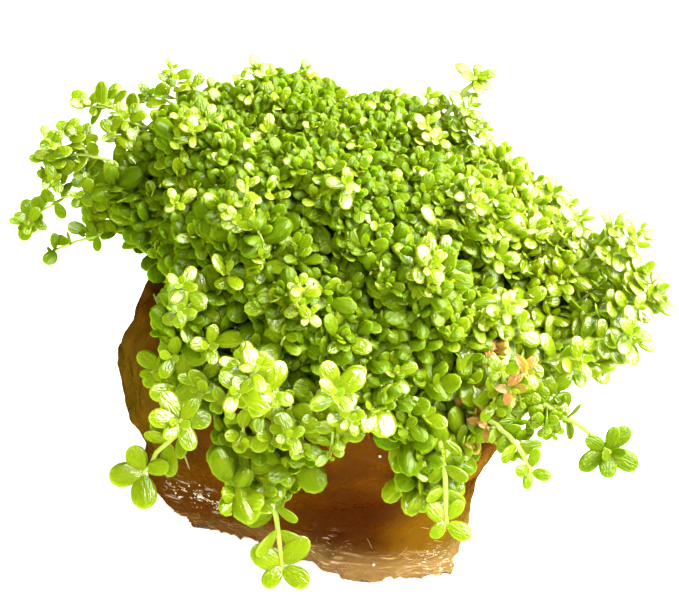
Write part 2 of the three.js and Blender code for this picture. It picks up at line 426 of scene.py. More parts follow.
@dataclass(frozen=True)
class WetWoolFinish:
    """Soaked amber-brown wool, like dark jelly, with a pale fibrous rim where it stands.

    Shade in the front hollow, glow where light comes through on the right, and wet
    glints are painted into its colour.
    """

    body: Colour = (0.13, 0.047, 0.0004)
    dark: Colour = (0.09, 0.030, 0.0006)
    rim: Colour = (0.32, 0.20, 0.07)
    fibre: Colour = (0.66, 0.45, 0.20)
    tone_and_light_zones: tuple[Zone, ...] = (
        # The wool's own olive tone on the left.
        Zone((-20, -5, 17), 3.0, 14.0, (0.14, 0.088, 0.002), 0.85),
        # Painted shade in the front hollow.
        Zone((5, -12, 9), 1.0, 8.5, (0.065, 0.015, 0.0003), 0.95),
        # Painted glow where light comes through the wool on the right, in this zone and the next
        # two.
        Zone((13.5, -11, 6.5), 1.5, 6.5, (0.20, 0.098, 0.0006), 0.95),
        Zone((18, -7, 4), 2.0, 7.0, (0.15, 0.10, 0.008), 0.85),
        Zone((17, -9, 15), 1.0, 6.0, (0.24, 0.125, 0.012), 0.7),
    )
    # Painted highlights: pale wet glints on the ledge, the right corner and the front rim.
    wet: tuple[Zone, ...] = (
        Zone((-14.3, -9.8, 7.8), 0.8, 3.2, (0.85, 0.78, 0.62), 0.9),
        Zone((-11, -10.8, 7.0), 0.8, 3.0, (0.85, 0.78, 0.62), 0.9),
        Zone((-8.7, -11, 6.6), 0.5, 2.2, (0.85, 0.78, 0.62), 0.9),
        Zone((14.5, -10.3, 2.2), 0.8, 4.0, (0.85, 0.74, 0.50), 0.8),
        Zone((2, -12, 2.6), 0.8, 5.0, (0.72, 0.52, 0.36), 0.7),
    )
    rim_top: float = 4.2 * MM
    ragged: float = -2.6 * MM  # how far the wrinkles move the rim's upper edge

    def material(self, mottle: Tree) -> Material:
        """Builds the wet wool's material from its zones, its fibrous rim and its grain.

        The zones paint shade in the hollow, a glow on the right and wet glints.

        Args:
            mottle: the shared mottling.

        Returns:
            The material.
        """
        material, tree, shader = new_material("wet wool")
        place = object_place(tree)
        across, _, height = add_node(tree, "SeparateXYZ", {0: place}).outputs
        cloud = mottling(tree, mottle, 5.0, 0.9)
        wrinkles = self.wrinkles(tree, place)
        edge = calculate(tree, "MULTIPLY_ADD", wrinkles, self.ragged, height)
        low = ramp(tree, edge, 0.1 * MM, self.rim_top, (0.9, 0.0))
        low = multiply(tree, low, ramp(tree, across, -9 * MM, 2 * MM, (0.3, 1.0)))
        fibres = ramp(tree, low, 0.0, 0.9, (0.0, 0.75))
        # Painted wet glints, on the tops of fine wrinkles inside the wet zones.
        glint_spots = ramp(tree, self.wrinkles(tree, place, 2.2), 0.58, 0.64)
        layers = (
            (cloud["Patches"], self.dark),
            *((zone.mask(tree, place), zone.colour) for zone in self.tone_and_light_zones),
            (low, self.rim),
            (multiply(tree, ramp(tree, wrinkles, 0.55, 0.72), fibres), self.fibre),
            (multiply(tree, cloud["Grain"], 0.12), self.dark),
            *((multiply(tree, zone.mask(tree, place), glint_spots), zone.colour) for zone in self.wet),
        )
        rough = ramp(tree, low, 0.0, 0.9, (0.05, 1.4))
        grain = multiply(tree, cloud["Grain"], 0.15)
        relief = calculate(tree, "MULTIPLY_ADD", wrinkles, rough, grain)
        dress(
            shader,
            {
                "Base Color": layered(tree, self.body, layers),
                "Roughness": ramp(tree, cloud["Grain"], 0.0, 1.0, (0.22, 0.42)),
                "Normal": bump(tree, relief, 0.7, 0.22),
                "Subsurface Weight": 0.3,
                "Subsurface Radius": (1.0, 0.45, 0.08),
                "Subsurface Scale": 1.6 * MM,
                "Specular IOR Level": 0.1,
                "Coat Weight": 0.08,
                "Coat Roughness": 0.06,
            },
        )
        return material

    @staticmethod
    def wrinkles(tree: Tree, place: Socket, finer: float = 1.0) -> Socket:
        """Makes the wool's wrinkles, which lie along its lower edge.

        Args:
            tree: the material's node tree.
            place: the place on the piece.
            finer: how many times finer than the usual ones they are.

        Returns:
            Their height.
        """
        size = (330 * finer, 330 * finer, 1300 * finer)
        inputs = {"Vector": place, "Rotation": (0.2, 0.1, 0.0), "Scale": size}
        turned = add_node(tree, "Mapping", inputs).outputs[0]
        return noise_clouds(tree, turned, 1.0, 4.0, 1.4)


@dataclass(frozen=True)
class ShadeFinish:
    """Painted deep shade under the leaves: dim leaf-like patches with dark lines between them."""

    patch: Colour = (0.07, 0.16, 0.001)
    second: Colour = (0.04, 0.09, 0.001)
    between: Colour = (0.006, 0.018, 0.0005)
    size: float = 1.5 * MM

    def material(self, mottle: Tree) -> Material:
        """Builds the patches from cells.

        Args:
            mottle: the shared mottling.

        Returns:
            The material.
        """
        material, tree, shader = new_material("deep shade")
        inputs = {"Vector": object_place(tree), "Scale": 1 / self.size, "Randomness": 1.0}
        cells = add_node(tree, "TexVoronoi", inputs).outputs["Distance"]
        cloud = mottling(tree, mottle, 3.5)
        layers = ((cloud["Patches"], self.second), (ramp(tree, cells, 0.3, 0.62), self.between))
        dress(
            shader,
            {
                "Base Color": layered(tree, self.patch, layers),
                "Roughness": 0.8,
                "Specular IOR Level": 0.05,
                "Normal": bump(tree, cells, 1.0, -0.5),
            },
        )
        return material


@dataclass(frozen=True)
class PlainFinish:
    """One colour with mottling, for the pieces that are seen little."""

    name: str
    colour: Colour
    second: Colour
    roughness: float

    def material(self, mottle: Tree) -> Material:
        """Builds the mottled material.

        Args:
            mottle: the shared mottling.

        Returns:
            The material.
        """
        material, tree, shader = new_material(self.name)
        cloud = mottling(tree, mottle, 1.5)
        dress(
            shader,
            {
                "Base Color": layered(tree, self.colour, ((cloud["Patches"], self.second),)),
                "Roughness": self.roughness,
                "Normal": bump(tree, cloud["Grain"], 0.5, 0.2),
            },
        )
        return material


# Leaves


class LeafKind(Enum):
    """The kinds of leaf on a sprig, and the bead of water that is laid out in the same way."""

    BUD = "bud"
    ROUND = "round"
    LONG = "long"
    WITHERED = "withered"
    SHADED = "shaded"
    DROP = "drop"


@dataclass(frozen=True)
class LeafModel:
    """One leaf, one unit long along +X with its upper face up, modelled once and then copied.

    The blade is a flattened ball with its narrow end at the stem. Its rim is lifted into a shallow
    cup, its midrib is pressed in, and its tip bends.
    """

    width: float
    thick: float
    cup: float
    groove: float
    bend: float
    narrow: float
    sides: int = 8
    rings: int = 6

    NEAR = 0.01  # how far from a ring, the midrib or an end a corner may be to belong to it

    def build(self) -> "LeafShape":
        """Models the leaf in edit mode and reads its corners and faces.

        Returns:
            The leaf's shape.
        """
        deselect_all()
        bpy.ops.mesh.primitive_uv_sphere_add(
            segments=self.sides, ring_count=self.rings, radius=0.5, rotation=(0, math.pi / 2, 0)
        )
        leaf = bpy.context.object
        bpy.ops.object.transform_apply(location=False, rotation=True, scale=False)
        bpy.context.tool_settings.mesh_select_mode = (True, False, False)
        edit_all()
        bpy.ops.transform.resize(value=(1.0, self.width, self.thick))
        shift(x=0.5)
        for ring in range(1, self.rings):
            along = 0.5 - 0.5 * math.cos(math.pi * ring / self.rings)
            self.pick(leaf, lambda v, x=along: abs(v.x - x) < self.NEAR)
            bpy.ops.transform.resize(value=(1.0, self.fullness(along), 1.0))
            shift(z=self.bend * (along - 0.3) ** 2)
            self.pick(leaf, lambda v, x=along: abs(v.x - x) < self.NEAR and self.at_rim(v, x))
            shift(z=self.cup)
            self.pick(leaf, lambda v, x=along: abs(v.x - x) < self.NEAR and abs(v.y) < self.NEAR)
            shift(z=-self.groove)
        self.pick(leaf, lambda v: v.x > 1 - self.NEAR)
        shift(z=self.bend * 0.5 + self.cup * 0.6)
        self.pick(leaf, lambda v: v.x < self.NEAR)
        shift(x=-0.05)
        leave_edit()
        shape = LeafShape.read(leaf, self.width)
        bpy.data.objects.remove(leaf)
        return shape

    def fullness(self, along: float) -> float:
        """Gives how wide the blade is at a place along it, as a share of a plain oval."""
        return 1.0 + self.narrow * (along - 0.55)

    def at_rim(self, corner: Vector, along: float) -> bool:
        """Tells whether a corner lies on the blade's rim."""
        half = 0.5 * self.width * math.sin(math.acos(1 - 2 * along))
        return abs(corner.y) > 0.9 * half * self.fullness(along)

    @staticmethod
    def pick(leaf: Piece, wanted: Callable[[Vector], bool]) -> None:
        """Selects the corners that a test wants.

        Args:
            leaf: the leaf, in edit mode.
            wanted: the test, which is given a corner's place.
        """
        mesh = bmesh.from_edit_mesh(leaf.data)
        for corner in mesh.verts:
            corner.select_set(wanted(corner.co))
        mesh.select_flush_mode()
        bmesh.update_edit_mesh(leaf.data)


@dataclass
class LeafShape:
    """A modelled leaf as arrays: its corners, each face's corners, and its map."""

    corners: np.ndarray
    loops: np.ndarray
    sizes: np.ndarray
    uv: np.ndarray

    @classmethod
    def read(cls, leaf: Piece, width: float) -> "LeafShape":
        """Reads a modelled leaf.

        Args:
            leaf: its piece.
            width: how wide its blade is.

        Returns:
            Its shape.
        """
        mesh = leaf.data
        corners = np.array([v.co for v in mesh.vertices])
        loops = np.array([v for p in mesh.polygons for v in p.vertices])
        sizes = np.array([len(p.vertices) for p in mesh.polygons])
        uv = np.column_stack((0.5 + corners[:, 1] / width, corners[:, 0]))
        return cls(corners, loops, sizes, uv)


Shapes = dict[LeafKind, LeafShape]
LEAF_MODELS = {
    LeafKind.BUD: LeafModel(width=0.64, thick=0.2, cup=0.05, groove=0.015, bend=0.2, narrow=0.15),
    LeafKind.ROUND: LeafModel(width=0.71, thick=0.15, cup=0.0, groove=0.02, bend=-0.12, narrow=0.3),
    LeafKind.LONG: LeafModel(width=0.59, thick=0.14, cup=0.01, groove=0.02, bend=-0.2, narrow=0.4),
    LeafKind.WITHERED: LeafModel(width=0.6, thick=0.1, cup=0.13, groove=0.06, bend=-0.7, narrow=0.2),
    LeafKind.SHADED: LeafModel(0.74, 0.16, cup=0.0, groove=0.0, bend=-0.15, narrow=0.3, sides=4),
}


@dataclass
class Leaf:
    """One leaf's place on its stem."""

    kind: LeafKind
    place: Vector
    along: Vector
    face: Vector
    length: float
    broad: float
    age: float
    # How much shade is painted into the leaf.
    depth: float
    wither: float = 0.0


@dataclass
class Bed:
    """The leaves and stems of one piece, which become one mesh."""

    name: str
    leaves: list[Leaf] = field(default_factory=list)
    # Each stem: its path, its radius at the root and at the tip, and its painted shade.
    stems: list[tuple[list[Vector], float, float, float]] = field(default_factory=list)

    STEM_SIDES = 6
    # age and wither are the leaf's own; depth is painted shade.
    MARKS = ("age", "depth", "wither")

    def build(self, shapes: Shapes, materials: list[Material], node: str, slot: str) -> Piece:
        """Makes the piece, which stands in its solid's place.

        Args:
            shapes: the modelled leaf of each kind.
            materials: the leaf's and the stem's material.
            node: the solid.
            slot: not used.

        Returns:
            The piece, with its map and its attributes.
        """
        parts = [self.leaf_arrays(kind, shape) for kind, shape in shapes.items()]
        parts = [p for p in (*parts, self.stem_arrays()) if p is not None]
        whole = {key: np.concatenate([p[key] for p in parts]) for key in parts[0]}
        starts = np.cumsum([0] + [len(p["corners"]) for p in parts[:-1]])
        loops = np.concatenate([p["loops"] + s for p, s in zip(parts, starts)])
        sizes = whole["sizes"]
        mesh = bpy.data.meshes.new(self.name)
        mesh.vertices.add(len(whole["corners"]))
        mesh.vertices.foreach_set("co", whole["corners"].ravel())
        mesh.loops.add(len(loops))
        mesh.loops.foreach_set("vertex_index", loops)
        mesh.polygons.add(len(sizes))
        mesh.polygons.foreach_set("loop_start", np.cumsum(sizes) - sizes)
        mesh.polygons.foreach_set("material_index", whole["slot"])
        mesh.polygons.foreach_set("use_smooth", np.ones(len(sizes), bool))
        mesh.uv_layers.new(name="leaf_map").data.foreach_set("uv", whole["uv"][loops].ravel())
        for name in self.MARKS:
            mesh.attributes.new(name, "FLOAT", "POINT").data.foreach_set("value", whole[name])
        mesh.update(calc_edges=True)
        mesh.validate()
        for material in materials:
            mesh.materials.append(material)
        piece = bpy.data.objects.new(self.name, mesh)
        bpy.context.scene.collection.objects.link(piece)
        stand_for(piece, node)
        log.info("%s: %d leaves, %d stems", self.name, len(self.leaves), len(self.stems))
        return piece

    def leaf_arrays(self, kind: LeafKind, shape: LeafShape) -> dict[str, np.ndarray] | None:
        """Places every leaf of one kind.

        Args:
            kind: the kind to place.
            shape: its modelled leaf.

        Returns:
            The arrays of all of them, or None where there is none.
        """
        leaves = [leaf for leaf in self.leaves if leaf.kind is kind]
        if not leaves:
            return None
        along = np.array([leaf.along for leaf in leaves])
        side = np.cross([leaf.face for leaf in leaves], along)
        side /= np.linalg.norm(side, axis=1, keepdims=True)
        upright = np.cross(along, side)
        length = np.array([leaf.length for leaf in leaves])[:, None]
        broad = np.array([leaf.broad for leaf in leaves])[:, None]
        turn = np.stack((along * length, side * length * broad, upright * length), axis=1)
        corners = np.einsum("vi,nij->nvj", shape.corners, turn)
        corners += np.array([leaf.place for leaf in leaves])[:, None, :]
        count, each = len(leaves), len(shape.corners)
        first = np.arange(count)[:, None] * each
        arrays = {
            "corners": corners.reshape(-1, 3),
            "loops": (shape.loops[None, :] + first).ravel(),
            "sizes": np.tile(shape.sizes, count),
            "uv": np.tile(shape.uv, (count, 1)),
            "slot": np.zeros(count * len(shape.sizes), int),
        }
        for name in self.MARKS:
            arrays[name] = np.repeat([getattr(leaf, name) for leaf in leaves], each)
        return arrays

    def stem_arrays(self) -> dict[str, np.ndarray] | None:
        """Makes each stem as a tapering tube with closed ends.

        Returns:
            The arrays of all of them, or None where there is none.
        """
        if not self.stems:
            return None
        corners, loops, sizes, depth, uv = [], [], [], [], []
        n = self.STEM_SIDES
        for path, thick, thin, deep in self.stems:
            first = len(corners)
            side = Vector((1.0, 0.2, 0.1))
            last = len(path) - 1
            for i, point in enumerate(path):
                ahead = (path[min(i + 1, last)] - path[max(i - 1, 0)]).normalized()
                side = (side - ahead * side.dot(ahead)).normalized()
                over = ahead.cross(side)
                radius = thick + (thin - thick) * i / last
                for k in range(n):
                    turn = 2 * math.pi * k / n
                    out = side * math.cos(turn) + over * math.sin(turn)
                    corners.append(point + out * radius)
                    # Painted shade, darkest at the stem's root.
                    depth.append(deep * (1 - i / last))
                    uv.append((k / n, i / last))
            for i in range(last):
                for k in range(n):
                    low, high = first + i * n, first + (i + 1) * n
                    loops += [low + k, low + (k + 1) % n, high + (k + 1) % n, high + k]
                    sizes.append(4)
            loops += [first + k for k in reversed(range(n))]
            loops += [first + last * n + k for k in range(n)]
            sizes += [n, n]
        count = len(corners)
        return {
            "corners": np.array(corners),
            "loops": np.array(loops),
            "sizes": np.array(sizes),
            "uv": np.array(uv),
            "slot": np.ones(len(sizes), int),
            "age": np.full(count, 0.5),
            "depth": np.array(depth),
            "wither": np.zeros(count),
        }


# Sprigs


@dataclass(frozen=True)
class Habit:
    """How a sprig carries its leaves.

    How far each pair stands from the tip and how long its leaves are, both in grown leaves, how
    far the pair opens, in degrees, and the stem's radius at its root and tip in millimetres. Each
    pair stands crosswise to the next, and twist turns it a little more. start is the turn of the
    tip's pair, or nothing for any. long_leaves is the share of leaves of the long kind. spread is
    how far the leaves lie out of the way of the light.
    """

    backs: tuple[float, ...] = (0.04, 0.24, 0.58, 1.15, 1.8, 2.5)
    sizes: tuple[float, ...] = (0.5, 0.85, 1.0, 1.05, 1.0, 0.9)
    opens: tuple[float, ...] = (30, 58, 70, 76, 79, 82)
    stem_root: float = 0.23
    stem_tip: float = 0.16
    turn_to_light: float = 1.5
    unruly: float = 0.16
    branching: float = 0.0
    twist: float = 0.0
    start: float | None = None
    long_leaves: float = 0.4
    spread: float = 0.5
    first_kind: LeafKind = LeafKind.BUD
    only: LeafKind | None = None
    stem_steps: int = 4


SHOOT_HABIT = Habit(stem_root=0.2, stem_tip=0.15)
TWIG_HABIT = replace(SHOOT_HABIT, branching=0.3, stem_steps=5)


@dataclass
class Sprig:
    """One stem, from its root to its tip, with pairs of leaves, each crosswise to the next."""

    root: Vector
    bend: Vector
    tip: Vector
    seed: int
    leaf: float
    habit: Habit = Habit()
    facing: Vector = field(default_factory=TO_LIGHT.copy)
    # shade and deep: how much shade is painted into its leaves, and how much more farther back.
    shade: float = 0.0
    deep: float = 0.0
    wither: float = 0.0

    # What chance does to a pair's distance from the tip, its opening, and a leaf's size and age.
    GAPS = (0.88, 1.12)
    OPENINGS = (0.8, 1.15)
    LENGTHS = (0.75, 1.18)
    BREADTHS = (0.9, 1.08)
    AGES = (-0.1, 0.25)
    YOUNGEST = 0.12
    OLDER = 0.2  # how much older each next pair is
    STRAY = 0.09  # how far a stem strays, in millimetres
    OFF_STEM = 0.12  # how far from the middle of its stem a leaf starts, in millimetres
    TOWARDS_LIGHT = 0.12
    SHRUNK = 0.3  # how much shorter a wholly withered leaf is
    CRUMPLED = 0.75  # a leaf that is more withered than this is crumpled too

    def point(self, share: float) -> Vector:
        """Gives the point at a share of the way along the stem."""
        rest = 1.0 - share
        return self.root * rest**2 + self.bend * (2 * rest * share) + self.tip * share**2

    def ahead(self, share: float) -> Vector:
        """Gives the way that the stem runs at a share of its length."""
        run = (self.bend - self.root) * (1 - share) + (self.tip - self.bend) * share
        return run.normalized()

    def opening_way(self, share: float, back: float) -> Vector:
        """Gives the way that a pair opens: along the stem, but at the tip the way that it faces."""
        turned = 0.85 * max(0.0, 1 - back / (1.5 * self.leaf))
        return (self.ahead(share) * (1 - turned) + self.facing * turned).normalized()

    def grow(self, bed: Bed) -> None:
        """Adds the stem and its leaves to a bed.

        Args:
            bed: the bed that takes them.
        """
        rng = np.random.default_rng(self.seed)
        steps = self.habit.stem_steps
        path = [self.point(i / steps) for i in range(steps + 1)]
        for point in path[1:-1]:
            point += Vector(rng.normal(0, self.STRAY, 3)) * MM
        long = sum((b - a).length for a, b in zip(path, path[1:]))
        habit = self.habit
        # The stem's painted shade.
        bed.stems.append((path, habit.stem_root * MM, habit.stem_tip * MM, self.shade + self.deep))
        turned = rng.uniform(0, math.pi) if habit.start is None else habit.start
        for i, back in enumerate(habit.backs):
            back = back * self.leaf * rng.uniform(*self.GAPS)
            if back > long - 0.2 * self.leaf:
                break
            share = 1 - back / long
            self.add_pair(bed, rng, i, share, turned + i * (math.pi / 2 + habit.twist), back)

    def add_pair(
        self, bed: Bed, rng: np.random.Generator, pair: int, share: float, turned: float, back: float
    ) -> None:
        """Adds one pair of leaves.

        Args:
            bed: the bed that takes them.
            rng: the sprig's own chance.
            pair: the pair's number, 0 at the tip.
            share: where on the stem it stands.
            turned: the angle round the stem of its first leaf.
            back: how far from the tip it stands, in metres.
        """
        habit = self.habit
        place, ahead = self.point(share), self.opening_way(share, back)
        side = ahead.cross(self.facing)
        side = Vector((1, 0, 0)) if side.length < 0.01 else side.normalized()
        over = side.cross(ahead).normalized()
        for half in (0.0, math.pi):
            angle = turned + half + rng.normal(0, habit.unruly)
            out = side * math.cos(angle) + over * math.sin(angle)
            opening = math.radians(habit.opens[pair] * rng.uniform(*self.OPENINGS))
            along = ahead * math.cos(opening) + out * math.sin(opening)
            face = ahead * math.sin(opening) - out * math.cos(opening)
            face += self.facing * habit.turn_to_light
            face += Vector(rng.normal(0, habit.unruly, 3))
            along -= self.facing * along.dot(self.facing) * habit.spread
            along += Vector(rng.normal(0, habit.unruly * 0.6, 3)) + TO_LIGHT * self.TOWARDS_LIGHT
            along.normalize()
            face = (face - along * face.dot(along)).normalized()
            kind = habit.first_kind if pair == 0 else LeafKind.ROUND
            if pair >= 1 and rng.random() < habit.long_leaves:
                kind = LeafKind.LONG
            wither = 0.0
            if self.wither and rng.random() < self.wither:
                wither = rng.uniform(0.5, 1.0)
                kind = LeafKind.WITHERED if wither > self.CRUMPLED else kind
            kind = habit.only or kind
            length = self.leaf * habit.sizes[pair] * rng.uniform(*self.LENGTHS)
            length *= 1 - self.SHRUNK * wither
            age = min(1.0, self.YOUNGEST + self.OLDER * pair + rng.uniform(*self.AGES))
            # Painted shade: the sprig's own, and more farther back from the tip.
            depth = min(1.0, self.shade + self.deep * back / (3 * self.leaf))
            start = place + along * self.OFF_STEM * MM
            broad = rng.uniform(*self.BREADTHS)
            bed.leaves.append(Leaf(kind, start, along, face, length, broad, age, depth, wither))
            if pair >= 2 and back > self.leaf and rng.random() < habit.branching:
                self.side_shoot(bed, rng, place, ahead, out)

    def side_shoot(
        self, bed: Bed, rng: np.random.Generator, place: Vector, ahead: Vector, out: Vector
    ) -> None:
        """Adds a short shoot in the corner between the stem and a leaf.

        Args:
            bed: the bed that takes it.
            rng: the sprig's own chance.
            place: where it leaves the stem.
            ahead: the way that the stem runs there.
            out: the way that the leaf points.
        """
        long = self.leaf * rng.uniform(1.0, 2.0)
        way = (ahead * 0.6 + out * rng.uniform(0.5, 0.9) + self.facing * 0.25).normalized()
        tip = place + way * long
        bend = place + (ahead + out).normalized() * long * 0.4
        seed = int(rng.integers(SEEDS))
        leaf = self.leaf * rng.uniform(0.75, 0.95)
        looks = (SHOOT_HABIT, self.facing, self.shade, self.deep)
        Sprig(place, bend, tip, seed, leaf, *looks).grow(bed)


def mm(*values: float) -> Vector:
    """Gives a point whose coordinates are in millimetres."""
    return Vector(values) * MM


# The sprigs that were placed one by one: the solid that each stands for, the stem's root and tip
# in millimetres, and how far its middle stands above the line between them.
PLACED_SPRIGS = {
    "left_long_sprig": ((-24, 7, 33.5), (-37, 8, 27.5), 2.4),
    "left_low_sprig": ((-22, 5, 31), (-32.3, 3, 27.8), 0.8),
    "left_back_sprig": ((-22, 12, 34), (-31, 14, 31), 1.4),
    "left_middle_sprig": ((-24, 10, 35.5), (-34.5, 11, 35.5), 0.8),
    "left_upper_sprig": ((-22, 14, 37.5), (-32, 17, 39), 1.2),
    "left_crown_sprig": ((-18, 17, 38.5), (-25.4, 20, 40), 0.8),
    "left_rim_sprig": ((-13, -10, 31), (-15.5, -15.5, 38), 0.0),
    "tall_crown_sprig": ((7.5, 13, 43), (11.6, 16, 49.8), 0.3),
    "right_back_sprig": ((20, 8, 35), (21.8, 11, 39.6), 0.4),
    "right_high_sprig": ((25, 2, 34), (28.2, 4, 40.4), 0.6),
    "right_long_sprig": ((27, -1, 32), (33.4, -1, 34.5), 1.2),
    "right_lower_sprig": ((26, -6, 30), (31.6, -6, 32.4), 1.2),
    "right_short_sprig": ((20, -10, 29), (23.6, -12, 28.2), 0.6),
    "right_trailing_sprig": ((18, -12, 28), (29.3, -16, 25.3), 1.2),
    "right_hanging_sprig": ((16, -15, 27), (21.5, -18.5, 23.5), 1.0),
    "front_right_sprig": ((11.5, -16, 26), (13.8, -22, 18.2), 0.9),
    "front_long_sprig": ((-5.5, -16.5, 19.5), (-2, -21.5, 8.6), 1.2),
    "front_left_sprig": ((-12, -15.5, 22), (-17.5, -19.5, 17), 1.2),
    "front_rosette_sprig": ((-11, -16, 27), (-13.6, -23, 27), 0.8),
    "front_upper_sprig": ((-6, -17, 30), (-8.5, -24, 32), 0.4),
    "front_centre_sprig": ((1, -18, 31), (1, -24.5, 34), 0.4),
}
LOOSE_HABIT = Habit(
    backs=(0.03, 0.15, 0.4, 1.05, 1.8, 2.6, 3.4, 4.3, 5.2),
    sizes=(0.5, 0.85, 1.0, 1.05, 1.0, 0.95, 0.9, 0.85, 0.8),
    opens=(26, 58, 76, 76, 78, 80, 80, 80, 80),
    branching=0.6,
    stem_steps=8,
)
# The same with longer steps and few side shoots, so that the stem shows.
AIRY_HABIT = replace(LOOSE_HABIT, branching=0.3, stem_root=0.2, stem_tip=0.15)
# The same with few pairs, well apart.
SPARSE_HABIT = replace(
    AIRY_HABIT,
    backs=(0.03, 0.15, 1.0, 2.1, 3.4, 4.8),
    sizes=(0.5, 0.85, 1.0, 0.95, 0.9, 0.85),
    opens=(26, 58, 76, 78, 80, 80),
    branching=0.0,
)
# Two crossed pairs of large leaves at the tip, and the next pairs well apart behind them.
HANGING_HABIT = Habit(
    backs=(0.02, 0.12, 1.1, 1.9, 2.7, 3.5),
    sizes=(0.95, 1.0, 0.95, 0.9, 0.85, 0.8),
    opens=(72, 78, 66, 62, 62, 62),
    turn_to_light=1.4,
    unruly=0.08,
    start=0.7,
    long_leaves=0.6,
    stem_root=0.32,
    stem_tip=0.25,
    first_kind=LeafKind.ROUND,
    stem_steps=8,
)
# Four pairs of large leaves close together, open like a flower.
ROSETTE_HABIT = Habit(
    backs=(0.0, 0.06, 0.12, 0.2, 1.4, 2.3, 3.2),
    sizes=(0.5, 0.85, 1.0, 1.05, 0.7, 0.8, 0.8),
    opens=(36, 64, 76, 84, 70, 70, 70),
    turn_to_light=0.7,
    unruly=0.07,
    twist=0.4,
    long_leaves=0.9,
    stem_root=0.34,
    stem_tip=0.28,
    stem_steps=8,
)


@dataclass(frozen=True)
class SprigStyle:
    """What is a sprig's own: its habit, its grown leaf in millimetres, and how shaded it is."""

    habit: Habit = LOOSE_HABIT
    leaf: float = 2.0
    shade: float = 0.0


STYLES = {
    "left": SprigStyle(AIRY_HABIT, 2.45, 0.3),
    "tall": SprigStyle(ROSETTE_HABIT, 2.3, 0.4),
    "right": SprigStyle(AIRY_HABIT, 2.8, 0.3),
    "front": SprigStyle(leaf=2.9),
    "mat": SprigStyle(),
    "left_low_sprig": SprigStyle(SPARSE_HABIT, 2.3, 0.75),
    "front_left_sprig": SprigStyle(HANGING_HABIT, 3.4, 0.25),
    "front_long_sprig": SprigStyle(HANGING_HABIT, 3.5, 0.25),
    "front_right_sprig": SprigStyle(HANGING_HABIT, 2.8, 0.3),
    "front_rosette_sprig": SprigStyle(ROSETTE_HABIT, 3.0),
    "right_trailing_sprig": SprigStyle(ROSETTE_HABIT, 3.7, 0.9),
    "right_hanging_sprig": SprigStyle(HANGING_HABIT, 2.4, 0.6),
}


@dataclass(frozen=True)
class Twig:
    """A side stem of a sprig: its root, tip and leaf, in millimetres, its shade, and its share of
    withered leaves.
    """

    root: Point
    tip: Point
    leaf: float = 2.2
    shade: float = 0.0
    wither: float = 0.0

    def grow(self, bed: Bed, seed: int, facing: Vector) -> None:
        """Adds the twig and its leaves to a bed.

        Args:
            bed: the bed that takes them.
            seed: where the twig's own chance starts.
            facing: the way that its leaves turn.
        """
        root, tip = mm(*self.root), mm(*self.tip)
        bend = (root + tip) / 2 + UP * 0.5 * MM
        looks = (TWIG_HABIT, facing, self.shade)
        Sprig(root, bend, tip, seed, self.leaf * MM, *looks, wither=self.wither).grow(bed)


